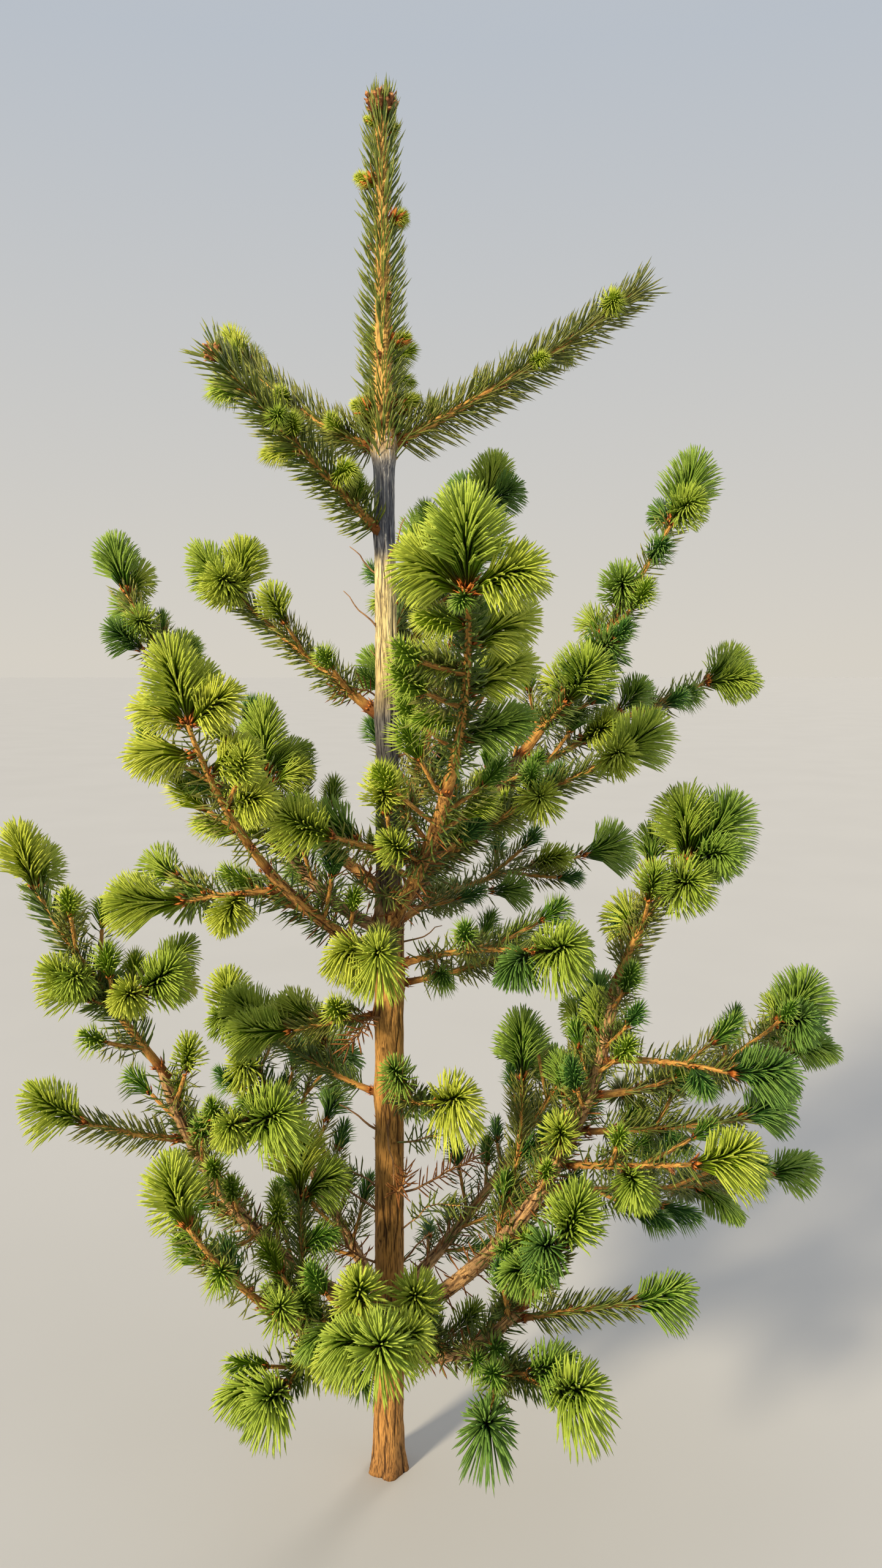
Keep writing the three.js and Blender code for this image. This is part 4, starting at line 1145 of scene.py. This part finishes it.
# %% Bare pegs
BOUGH_PEGS_PER_MM, TWIG_PEGS_PER_MM = 2.4, 0.8
BARE_FROM, BARE_DEPTH = 0.03, 0.85
BARE_ANGLES, BARE_LENGTHS = (40, 70), (1.2, 2.8)
for stem in list(boughs.values()) + shoots:
    is_bough = "thin" in stem
    count = int(stem["length"] * (BOUGH_PEGS_PER_MM if is_bough else TWIG_PEGS_PER_MM))
    share = draw.uniform(BARE_FROM, 1, count)
    ways = ways_on(stem["points"], share)
    out = spokes(ways, draw.uniform(0, 2 * np.pi, count))
    radius = (bough_radius if is_bough else shoot_radius)(stem, share)
    roots = point_on(stem["points"], share) + out * (radius * BARE_DEPTH)[:, None]
    pointing = lean(ways, out, draw.uniform(*BARE_ANGLES, count))
    tips = roots + pointing * draw.uniform(*BARE_LENGTHS, count)[:, None]
    add_needles(peg_bundle, roots, roots, tips, np.full(count, PEG_WIDTH), PEG_FORM, finishes=(0, 0))
print("pegs in all:", peg_bundle.count // (NEEDLE_SIDES + 1))

# %% [markdown]
# ## Bud scales and buds
#
# Each new shoot pushes up through the papery scales of its winter bud, and they stay round its foot as a
# ragged orange-brown cup. Some buds have not opened: one brown spray on the left and the crown of buds at
# the leader's top. A scale is a flat wide needle, and a bud is an oval body with scales laid over it.

# %% Bud scales
SCALE_SEED = 7900
SCALES_PER_CUP, CUP_RADIUS, CUP_STARTS = 12, 1.9, (-0.5, 1.5)
SCALE_LENGTH, SCALE_WIDTH, SCALE_FLAT = 7.4, 2.7, 0.2
# Spans of a scale's length and of its angle at the foot and at the tip, the span of its width, and its form.
CUP_SCALES = ((0.5, 1.15), (4, 26), (-10, 70), (0.6, 1.2), CUP_SCALE_FORM)
RING_SCALES = ((0.5, 0.8), (4, 16), (10, 60), (0.6, 0.9), SCALE_FORM)
# A full tuft's length, the sizes of cups, how far up the tuft one starts, and the cup at the foot of a stem.
CUP_TUFT, CUP_SIZES, CUP_AHEAD = 42, (0.55, 1.1), 1.5
STEM_CUP, STEM_CUP_RADIUS = 0.8, 0.7


def add_scales(bundle, roots, way, out, size, draw, lengths, foot_angles, tip_angles, wides, form):
    """Flat scales that start at the roots along way and bend towards out."""
    count = len(roots)
    half = (SCALE_LENGTH / 2 * size * draw.uniform(*lengths, count))[:, None]
    knees = roots + lean(way, out, draw.uniform(*foot_angles, count)) * half
    tips = knees + lean(way, out, draw.uniform(*tip_angles, count)) * half
    widths = SCALE_WIDTH * size * draw.uniform(*wides, count)
    add_needles(bundle, roots, knees, tips, widths, form, SCALE_FLAT, unit(np.cross(out, way)))


def add_cup(bundle, foot, way, size, draw, radius=CUP_RADIUS):
    out = spokes(way, np.arange(SCALES_PER_CUP) * GOLDEN_TURN)
    roots = foot + out * (radius * size) + way * draw.uniform(*CUP_STARTS, SCALES_PER_CUP)[:, None]
    add_scales(bundle, roots, way, out, size, draw, *CUP_SCALES)


draw = np.random.default_rng(SCALE_SEED)
scale_bundle = Bundle()
for tuft in tufts:
    size = tuft.get("cup", float(np.clip(tuft["length"] / CUP_TUFT, *CUP_SIZES)))
    add_cup(scale_bundle, tuft["foot"] + tuft["way"] * CUP_AHEAD, tuft["way"], size, draw)
for shoot in shoots:
    if "on" in shoot:
        radius = shoot["thick"] * STEM_CUP_RADIUS
        add_cup(scale_bundle, shoot["foot"], heading_on(shoot, 0), STEM_CUP, draw, radius)

# Old scales stay round the trunk where a year's growth ended: their height and how many.
SCALE_RINGS = [(690, 20), (382, 30), (114, 24)]
RING_SPAN, RING_SINK = (-8, 5), 0.3
for height, count in SCALE_RINGS:
    out = heading(np.degrees(np.arange(count) * GOLDEN_TURN), 0)
    heights = height + draw.uniform(*RING_SPAN, count)
    roots = trunk_axis(heights) + out * (trunk_radius(heights) - RING_SINK)[:, None]
    add_scales(scale_bundle, roots, UP, out, 1, draw, *RING_SCALES)
print("scale points:", scale_bundle.count)

# %% Buds
BUD_SCALES, BUD_SIDES = 13, 6
# Shares of a bud's length and how wide it is there, and the same for the slope of its scales.
BUD_PROFILE = ((0, 0.35), (0.12, 0.75), (0.35, 1.0), (0.6, 0.9), (0.82, 0.55), (0.96, 0.2))
BUD_SLOPES = ((0, 0.35, 0.8), (40, 22, 8))
# How far up the scales go, how near the outside they start, their half length, their width and their bend.
BUD_TOP, BUD_NEAR, BUD_HALF, BUD_LENGTHS, BUD_WIDE, BUD_BEND = 0.8, 0.9, 0.2, (0.8, 1.1), 0.5, 8
BUD_FINISHES = (2, 3)
BUD_INSIDE = 0.7


def add_bud(bundle, foot, way, length, width, draw):
    shares, swell = np.array(BUD_PROFILE).T
    body = tube(foot + way * (shares * length)[:, None], swell * width / 2, BUD_SIDES)
    bundle.add(*body, finish=BUD_FINISHES[0])
    place = np.linspace(0, BUD_TOP, BUD_SCALES)
    out = spokes(way, np.arange(BUD_SCALES) * GOLDEN_TURN)
    reach = np.interp(place, shares, swell) * width / 2
    roots = foot + way * (place * length)[:, None] + out * (reach * BUD_NEAR)[:, None]
    slope = np.interp(place, *BUD_SLOPES)
    half = (length * BUD_HALF * draw.uniform(*BUD_LENGTHS, BUD_SCALES))[:, None]
    knees = roots + lean(way, out, slope + BUD_BEND) * half
    tips = knees + lean(way, out, slope - BUD_BEND + draw.uniform(0, 2 * BUD_BEND, BUD_SCALES)) * half
    across, widths = unit(np.cross(out, way)), np.full(BUD_SCALES, width * BUD_WIDE)
    add_needles(bundle, roots, knees, tips, widths, SCALE_FORM, SCALE_FLAT, across, BUD_FINISHES)


# height, bearing, rise, length and width
LEADER_BUDS = [(879, b, 56, 12, 7) for b in (-100, -40, 20, 80, 140, 200)] + [(881, 0, 88, 13, 7.5)]
LEADER_SIDE_BUDS = [(800, 170, 36, 6, 4), (770, -60, 40, 6, 4), (735, -110, 40, 6, 4)]
for height, bearing, rise, length, width in LEADER_BUDS + LEADER_SIDE_BUDS:
    foot = trunk_axis(height) + heading(bearing, 0) * trunk_radius(height) * BUD_INSIDE
    add_bud(scale_bundle, foot, heading(bearing, rise), length, width, draw)

# The spray whose buds are still shut, and the angle, roll, length and width of those at its tip.
BROWN_SPRAY = "left_brown_spray"
TIP_BUDS = ((6, 0, 9.5, 6), (46, 20, 8, 5), (46, 160, 8, 5), (44, -90, 7.5, 5), (46, 90, 7.5, 5))
for shoot in shoots:
    if shoot["spray"] == BROWN_SPRAY:
        way = heading_on(shoot, 1)
        for angle, roll, length, width in TIP_BUDS:
            add_bud(scale_bundle, shoot["points"][-1] - way, fork(way, angle, roll), length, width, draw)

SIDE_BUD_STEP, SIDE_BUD_FORK = 42, 52
SIDE_BUD_LENGTHS, SIDE_BUD_WIDTHS = (4, 5.5), (2.6, 3.4)
for shoot in shoots:
    for k in range(int(shoot["length"] / SIDE_BUD_STEP)):
        share = (k + draw.uniform(*IN_STEP)) * SIDE_BUD_STEP / shoot["length"]
        way = fork(heading_on(shoot, share), SIDE_BUD_FORK, draw.uniform(0, 360))
        foot = point_on(shoot["points"], share) + way * shoot_radius(shoot, share) * BUD_INSIDE
        length, width = draw.uniform(*SIDE_BUD_LENGTHS), draw.uniform(*SIDE_BUD_WIDTHS)
        add_bud(scale_bundle, foot, way, length, width, draw)
print("scale and bud points:", scale_bundle.count)

# %% [markdown]
# ## Dead twigs
#
# Near the trunk the weak side twigs die for want of light. They are thin and dry and bend anywhere, and only
# some keep a few old needles. They are tubes on a line with a seeded wander.

# %% Dead twigs
DEAD_SEED, DEAD_COUNT, DEAD_SIDES = 8100, 34, 6
# Between which values each one's height, rise, length and thickness lie, and how far its bearing strays.
DEAD_HEIGHTS, DEAD_RISES, DEAD_LENGTHS, DEAD_THICKS = (100, 660), (5, 45), (30, 62), (1.2, 1.8)
DEAD_STRAY = 20
# They are shorter higher up. Each bends so many times, by so much, and tapers.
DEAD_LONGEST, DEAD_SHRINK = 1.15, 1000
DEAD_BENDS, DEAD_BEND, DEAD_RINGS, DEAD_TAPER = 6, 12, 4, 0.6
# Two in three below this height keep some old needles.
DEAD_CLOTHED, DEAD_BARE_EVERY = 560, 3
DEAD_NEEDLES_PER_MM, DEAD_SPAN, DEAD_ANGLES = 0.8, (0.2, 1), (70, 46)
draw = np.random.default_rng(DEAD_SEED)
dead_bundle = Bundle()
for k in range(DEAD_COUNT):
    height = draw.uniform(*DEAD_HEIGHTS)
    bearing, rise = k * GOLDEN_ANGLE + draw.uniform(-DEAD_STRAY, DEAD_STRAY), draw.uniform(*DEAD_RISES)
    length = draw.uniform(*DEAD_LENGTHS) * (DEAD_LONGEST - height / DEAD_SHRINK)
    thick = draw.uniform(*DEAD_THICKS)
    turn = np.cumsum(draw.normal(0, DEAD_BEND, DEAD_BENDS))
    lift = np.cumsum(draw.normal(0, DEAD_BEND, DEAD_BENDS))
    steps = heading(bearing + turn, rise + lift) * length / DEAD_BENDS
    foot = trunk_axis(height) + heading(bearing, 0) * (trunk_radius(height) - 1)
    bends = np.vstack([foot, foot + np.cumsum(steps, axis=0)])
    share = np.linspace(0, 1, DEAD_BENDS * DEAD_RINGS)
    dead_bundle.add(*tube(point_on(bends, share), thick / 2 * (1 - DEAD_TAPER * share), DEAD_SIDES))
    if k % DEAD_BARE_EVERY and height < DEAD_CLOTHED:
        bundles = [dry_bundle] if k % DEAD_BARE_EVERY == 1 else old_bundles
        count = int(length * DEAD_NEEDLES_PER_MM)
        clothe(bundles, bends, [thick / 3] * 2, count, DEAD_SPAN, DRY_NEEDLE, DEAD_ANGLES, draw)
print("dead twigs:", DEAD_COUNT)

# %% [markdown]
# ## Shared finishes
#
# Several finishes need the same two effects. Natural surfaces are never one even colour, so a drift mixes a
# colour with a second one by a cloudy noise. Bark and twigs have a fine grain that runs along them, and what
# lies deep in them is painted dark as shade. Each effect is a node group, built once and used with each
# material's own values.

# %% Colours and nodes
def colour(red, green, blue):
    """A colour as it looks on a screen, 0 to 255, turned into the light values that shaders use."""
    values = np.array([red, green, blue]) / 255
    return (*np.where(values <= 0.04045, values / 12.92, ((values + 0.055) / 1.055) ** 2.4), 1.0)


def new_group(name, inputs, outputs):
    tree = bpy.data.node_groups.new(name, "ShaderNodeTree")
    for title, kind, value in inputs:
        socket = tree.interface.new_socket(title, in_out="INPUT", socket_type="NodeSocket" + kind)
        socket.default_value = value
    for title, kind in outputs:
        tree.interface.new_socket(title, in_out="OUTPUT", socket_type="NodeSocket" + kind)
    return tree, tree.nodes.new("NodeGroupInput").outputs, tree.nodes.new("NodeGroupOutput").inputs


def feed(tree, node, values):
    """Gives the node's inputs their values, each of which is a number, a colour or a socket to link."""
    for key, value in values:
        if isinstance(value, bpy.types.NodeSocket):
            tree.links.new(value, node.inputs[key])
        else:
            node.inputs[key].default_value = value
    return node


def add_node(tree, kind, values=(), **settings):
    """A node of a kind with its settings. Values are pairs of one of its inputs and a value or a socket."""
    node = tree.nodes.new("ShaderNode" + kind)
    for key, value in settings.items():
        setattr(node, key, value)
    return feed(tree, node, values)


def object_place(tree):
    return add_node(tree, "TexCoord").outputs["Object"]


def mix_colours(tree, factor, first, second, blend="MIX"):
    values = [(0, factor), (6, first), (7, second)]
    return add_node(tree, "Mix", values, data_type="RGBA", blend_type=blend).outputs[2]


def noise(tree, place, scale, detail):
    values = [("Vector", place), ("Scale", scale), ("Detail", detail)]
    return add_node(tree, "TexNoise", values).outputs["Fac"]


def map_range(tree, value, span, least, most):
    """Turns a value within a span into one from least to most."""
    values = [(0, value), (1, span[0]), (2, span[1]), (3, least), (4, most)]
    return add_node(tree, "MapRange", values).outputs[0]


def combine(tree, kind, operation, first, second):
    return add_node(tree, kind, [(0, first), (1, second)], operation=operation).outputs[0]


print("a mid grey as light:", round(float(colour(128, 128, 128)[0]), 3))

# %% Colour drift
WHITE = (1, 1, 1, 1)
# Which span of the noise turns one colour into the other, and the noise and the roughness that it gives.
DRIFT_DETAIL, DRIFT_EDGE = 3, (0.35, 0.65)
DRIFT_SPAN, DRIFT_ROUGHNESS = (0.3, 0.7), (0.42, 0.62)
drift, given, put = new_group(
    "colour drift",
    [("Colour", "Color", WHITE), ("Other", "Color", WHITE), ("Scale", "Float", 60), ("Amount", "Float", 0.5)],
    [("Colour", "Color"), ("Roughness", "Float")],
)
cloud = noise(drift, object_place(drift), given["Scale"], DRIFT_DETAIL)
sharp = map_range(drift, cloud, DRIFT_EDGE, 0, given["Amount"])
drift.links.new(mix_colours(drift, sharp, given["Colour"], given["Other"]), put["Colour"])
drift.links.new(map_range(drift, cloud, DRIFT_SPAN, *DRIFT_ROUGHNESS), put["Roughness"])
print("group:", drift.name)

# %% Bark grain
# The fibre's streaks and the scars of fallen needles darken the bark, and so does the mesh's mark: painted
# shade in fissures, grooves and hollows, and the knots' own dark. Each takes effect over a span of its own
# noise or depth, up to a most. Scars are flat rings, so their noise is pressed.
FIBRE_DETAIL, STREAK_SPAN, STREAK_MOST = 5, (0.49, 0.6), 0.72
DARK_MARK_SPAN, DARK_MARK_MOST = (0.24, 0.7), 0.97
SCAR_PRESS, SCAR_SCALE, SCAR_DETAIL, SCAR_SPAN = (0.3, 0.3, 1.5), 420, 2, (0.62, 0.68)
BARK_ROUGHNESS = (0.62, 0.95)
grain, given, put = new_group(
    "bark grain",
    [
        ("Place", "Vector", (0, 0, 0)), ("Colour", "Color", WHITE), ("Deep", "Color", WHITE),
        ("Depth", "Float", 0), ("Scale", "Float", 300), ("Along", "Float", 0.2), ("Scars", "Float", 0),
    ],
    [("Colour", "Color"), ("Height", "Float"), ("Roughness", "Float")],
)
stretch = add_node(grain, "CombineXYZ", [("X", 1.0), ("Y", 1.0), ("Z", given["Along"])]).outputs[0]
stretched = combine(grain, "VectorMath", "MULTIPLY", given["Place"], stretch)
fibre = noise(grain, stretched, given["Scale"], FIBRE_DETAIL)
streak = map_range(grain, fibre, STREAK_SPAN, 0, STREAK_MOST)
knot_dark_and_painted_shade = map_range(grain, given["Depth"], DARK_MARK_SPAN, 0, DARK_MARK_MOST)
pressed = combine(grain, "VectorMath", "MULTIPLY", given["Place"], SCAR_PRESS)
ring = noise(grain, pressed, SCAR_SCALE, SCAR_DETAIL)
scar = map_range(grain, ring, SCAR_SPAN, 0, given["Scars"])
deep = combine(grain, "Math", "MAXIMUM", combine(grain, "Math", "MAXIMUM", knot_dark_and_painted_shade, streak), scar)
grain.links.new(mix_colours(grain, deep, given["Colour"], given["Deep"]), put["Colour"])
grain.links.new(combine(grain, "Math", "SUBTRACT", fibre, scar), put["Height"])
grain.links.new(map_range(grain, deep, (0, 1), *BARK_ROUGHNESS), put["Roughness"])
print("group:", grain.name)

# %% [markdown]
# ## Needle finishes
#
# New needles are soft, yellow-green and a little waxy, and paler at the tip, partly in their own colour and
# partly as painted sunlight. Old ones are dark and shine more, and their paler tips are partly a painted
# highlight. Each tuft takes one tint, a deeper one where it is painted in shade, so each tint is a material
# of its own with only a slight drift.

# %% Needle finishes
# The scale and the amount of a needle's drift, and how strongly each kind shines.
NEEDLE_DRIFT = (90, 0.6)
NEW_SHINE, OLD_SHINE, DRY_SHINE = 0.2, 0.45, 0.15


def start_material(name):
    material = bpy.data.materials.new(name)
    material.use_nodes = True
    tree = material.node_tree
    return material, tree, tree.nodes["Principled BSDF"]


def add_group(tree, group, values):
    """A node of a group, with a value or a socket for each of its inputs by name."""
    return feed(tree, add_node(tree, "Group", node_tree=group), values.items())


def add_drift(tree, main, other, scale, amount):
    return add_group(tree, drift, {"Colour": main, "Other": other, "Scale": scale, "Amount": amount}).outputs


def needle_finish(name, main, other, shine):
    material, tree, shader = start_material(name)
    drifting = add_drift(tree, colour(*main), colour(*other), *NEEDLE_DRIFT)
    tree.links.new(drifting["Colour"], shader.inputs["Base Color"])
    tree.links.new(drifting["Roughness"], shader.inputs["Roughness"])
    shader.inputs["Specular IOR Level"].default_value = shine
    return material


# the colour of a new needle, the one it drifts to, and its tip, paler partly in its own colour and partly as
# painted sunlight
# The rows go from bright to deep, and the deeper ones stand in part for painted shade on tufts away from the
# sun.
NEW_COLOURS = [
    ((130, 148, 22), (112, 136, 18), (202, 209, 84)),
    ((118, 143, 22), (100, 128, 20), (190, 201, 80)),
    ((102, 132, 24), (84, 118, 22), (172, 190, 76)),
    ((82, 120, 30), (66, 106, 28), (146, 172, 72)),
    ((62, 104, 40), (50, 88, 36), (114, 146, 64)),
]
# the colour of an old needle and its tip, paler partly in its own colour and partly as a painted highlight
OLD_COLOURS = [
    ((76, 97, 30), (138, 142, 56)), ((64, 90, 30), (108, 124, 44)), ((86, 101, 34), (140, 138, 54)),
]
DRY_COLOURS = ((146, 94, 48), (104, 64, 36))
new_materials, old_materials = [], []
for index, (main, other, tip) in enumerate(NEW_COLOURS):
    body = needle_finish(f"new_needle_{index + 1}", main, other, NEW_SHINE)
    new_materials.append([body, needle_finish(f"new_needle_tip_and_painted_light_{index + 1}", tip, main, NEW_SHINE)])
for index, (main, tip) in enumerate(OLD_COLOURS):
    body = needle_finish(f"old_needle_{index + 1}", main, tip, OLD_SHINE)
    old_materials.append([body, needle_finish(f"old_needle_tip_and_painted_highlight_{index + 1}", tip, main, OLD_SHINE)])
dry_material = needle_finish("dry_needle", *DRY_COLOURS, DRY_SHINE)
print("needle finishes:", 2 * len(new_materials) + 2 * len(old_materials) + 1)

# %% [markdown]
# ## Bark finishes
#
# The trunk's bark changes on its way up: brown and cracked at the foot, dark grey below the middle, weathered
# pale above it, silvery under the top whorl and golden on this year's leader. A ramp over the height gives
# these bands. The boughs are orange-brown and flaky, and last year's twigs are golden.

# %% Bands of the trunk's bark
# Shares of the trunk's height and the colours there, and shares of it and how much resin shows there.
BARK_BANDS = [
    (0.0, (166, 118, 64)), (0.05, (198, 144, 76)), (0.4, (208, 154, 80)), (0.46, (128, 112, 88)),
    (0.5, (100, 97, 94)), (0.585, (110, 107, 104)), (0.615, (232, 206, 142)), (0.69, (255, 234, 168)),
    (0.705, (108, 112, 122)), (0.764, (122, 124, 130)), (0.773, (176, 156, 122)), (0.786, (214, 168, 92)),
    (1.0, (228, 182, 96)),
]
RESIN_BANDS = [(0.0, 0), (0.56, 0), (0.62, 90), (0.7, 150), (0.71, 210), (0.782, 230), (0.79, 0)]
RESIN = (236, 232, 222)
# Resin runs down in streaks, so its noise is stretched along the trunk.
RESIN_STRETCH, RESIN_SCALE, RESIN_DETAIL, RESIN_SPAN = (1, 1, 0.07), 480, 5, (0.54, 0.6)


def by_height(tree, height, stops):
    """A colour, or a grey for an amount, that changes with the height on the trunk."""
    ramp = add_node(tree, "ValToRGB", [(0, height)])
    elements = ramp.color_ramp.elements
    while len(elements) < len(stops):
        elements.new(0.5)
    for element, (position, tone) in zip(elements, stops):
        element.position = position
        element.color = colour(*np.broadcast_to(tone, 3))
    return ramp.outputs["Color"]


def bark_bands(tree, place):
    height = add_node(tree, "SeparateXYZ", [(0, object_place(tree))]).outputs["Z"]
    share = map_range(tree, height, (0, TRUNK_TOP * MM), 0, 1)
    long_place = combine(tree, "VectorMath", "MULTIPLY", place, RESIN_STRETCH)
    run = noise(tree, long_place, RESIN_SCALE, RESIN_DETAIL)
    streak = map_range(tree, run, RESIN_SPAN, 0, by_height(tree, share, RESIN_BANDS))
    return mix_colours(tree, streak, by_height(tree, share, BARK_BANDS), colour(*RESIN))


print("bands of bark:", len(BARK_BANDS), "and of resin:", len(RESIN_BANDS))

# %% Bark finishes
BARK_DRIFT, BARK_SHINE, BUMP_HEIGHT = (45, 0.7), 0.25, 0.001


def mesh_value(tree, name, output):
    """A value that the mesh has for each of its points."""
    return add_node(tree, "Attribute", attribute_type="GEOMETRY", attribute_name=name).outputs[output]


def bark_shader(name, main, deep, blotch, scale, along, bump, scars, on_stem):
    """Main is a colour, or a function that adds nodes and gives a socket with one.

    On such a base the deep and the blotch colour tint it, and the deep one is also the colour of the painted
    shade in the mesh's marks. On_stem says that the mesh has marks and places.
    """
    material, tree, shader = start_material(name)
    depth = mesh_value(tree, MARK, "Fac") if on_stem else 0.0
    place = mesh_value(tree, PLACE, "Vector") if on_stem else object_place(tree)
    deep, blotch = colour(*deep), colour(*blotch)
    if callable(main):
        base = main(tree, place)
        deep = mix_colours(tree, 1.0, base, deep, "MULTIPLY")
        blotch = mix_colours(tree, 1.0, base, blotch, "MULTIPLY")
    else:
        base = colour(*main)
    base = add_drift(tree, base, blotch, *BARK_DRIFT)["Colour"]
    values = {"Place": place, "Colour": base, "Deep": deep, "Depth": depth, "Scale": scale, "Along": along}
    grained = add_group(tree, grain, {**values, "Scars": scars}).outputs
    heights = [("Height", grained["Height"]), ("Distance", BUMP_HEIGHT), ("Strength", bump)]
    tree.links.new(grained["Colour"], shader.inputs["Base Color"])
    tree.links.new(grained["Roughness"], shader.inputs["Roughness"])
    tree.links.new(add_node(tree, "Bump", heights).outputs["Normal"], shader.inputs["Normal"])
    shader.inputs["Specular IOR Level"].default_value = BARK_SHINE
    return material


# The grain's scale and its share along the stem, the bump, the scars, and whether the mesh is a stem.
BOUGH_GRAIN, DRY_GRAIN = (860, 0.2, 1.0, 0.3, True), (350, 0.6, 0.4, 0.0, False)
# name, main colour, deep colour (also that of painted shade on stems), blotch colour and the grain
BARKS = [
    ("trunk_bark", bark_bands, (100, 97, 114), (206, 200, 194), (1250, 0.09, 1.0, 0.0, True)),
    ("bough_bark", (214, 160, 84), (84, 50, 28), (168, 118, 66), BOUGH_GRAIN),
    ("grey_bark", (192, 152, 106), (78, 58, 44), (150, 116, 82), (860, 0.2, 1.0, 0.25, True)),
    ("tan_bark", (206, 162, 106), (80, 56, 38), (160, 126, 88), BOUGH_GRAIN),
    ("twig_bark", (218, 168, 84), (122, 74, 36), (190, 134, 62), (900, 0.3, 1.0, 0.0, True)),
    ("peg_bark", (234, 190, 108), (184, 128, 62), (212, 156, 78), DRY_GRAIN),
    ("dead_bark", (164, 124, 82), (96, 66, 42), (140, 104, 70), (700, 0.2, 0.7, 0.0, True)),
    ("scale_paper", (164, 84, 26), (100, 48, 18), (134, 66, 24), DRY_GRAIN),
    ("scale_edge", (206, 126, 52), (150, 80, 32), (180, 104, 44), DRY_GRAIN),
    ("bud_paper", (150, 98, 56), (88, 52, 30), (120, 74, 42), DRY_GRAIN),
    ("bud_edge", (212, 156, 98), (150, 96, 56), (180, 122, 74), DRY_GRAIN),
]
barks = {}
for name, main, deep, blotch, grains in BARKS:
    barks[name] = bark_shader(name, main, deep, blotch, *grains)
print("bark finishes:", len(barks))

# %% [markdown]
# ## Pieces
#
# Each bundle now becomes one piece with its finishes. A piece stands in for the solids it covers: the bark of
# the trunk and of each bough for its own solid, and twigs, pegs, scales and needles for all the masses of
# foliage together, since one kind runs through them all. The dead twigs go with the trunk.

# %% Pieces
GREY_BOUGHS = ("left_grey", "right_tall")
trunk_bundle.piece("trunk_with_bark", [barks["trunk_bark"]], ["trunk"], "trunk_bark", True)
for name, bundle in bough_bundles.items():
    bark = "grey_bark" if name in GREY_BOUGHS else "tan_bark" if name.endswith("_low") else "bough_bark"
    bundle.piece(f"bough_{name}", [barks[bark]], [name], "bough_bark", True)
twig_bundle.piece("twigs", [barks["twig_bark"]], SPRAY_NAMES, "bough_bark", True)
peg_bundle.piece("needle_pegs", [barks["peg_bark"]], SPRAY_NAMES, "bough_bark")
dead_bundle.piece("dead_twigs", [barks["dead_bark"]], ["trunk"], "bough_bark", True)
scale_finishes = [barks[name] for name in ("scale_paper", "scale_edge", "bud_paper", "bud_edge")]
scale_bundle.piece("bud_scales", scale_finishes, SPRAY_NAMES + SLEEVE_NAMES, "bough_bark")
for index, (bundle, materials) in enumerate(zip(new_bundles, new_materials)):
    bundle.piece(f"new_needles_{index + 1}", materials, SPRAY_NAMES, "needle_shoots")
for index, (bundle, materials) in enumerate(zip(old_bundles, old_materials)):
    bundle.piece(f"old_needles_{index + 1}", materials, SPRAY_NAMES + SLEEVE_NAMES, "needle_shoots")
dry_bundle.piece("dry_needles", [dry_material] * 2, SPRAY_NAMES, "needle_shoots")

# %% [markdown]
# ## Floor finish
#
# The floor is matt and pale, with only a slight cloudiness so that it doesn't look like paper.

# %% Floor finish
FLOOR_COLOURS, FLOOR_DRIFT, FLOOR_ROUGHNESS = ((190, 189, 188), (185, 184, 183)), (3, 0.5), 0.9
material, tree, shader = start_material("floor_finish")
pale, darker = [colour(*values) for values in FLOOR_COLOURS]
tree.links.new(add_drift(tree, pale, darker, *FLOOR_DRIFT)["Colour"], shader.inputs["Base Color"])
shader.inputs["Roughness"].default_value = FLOOR_ROUGHNESS
floor.data.materials.append(material)
print("floor finish:", material.name)
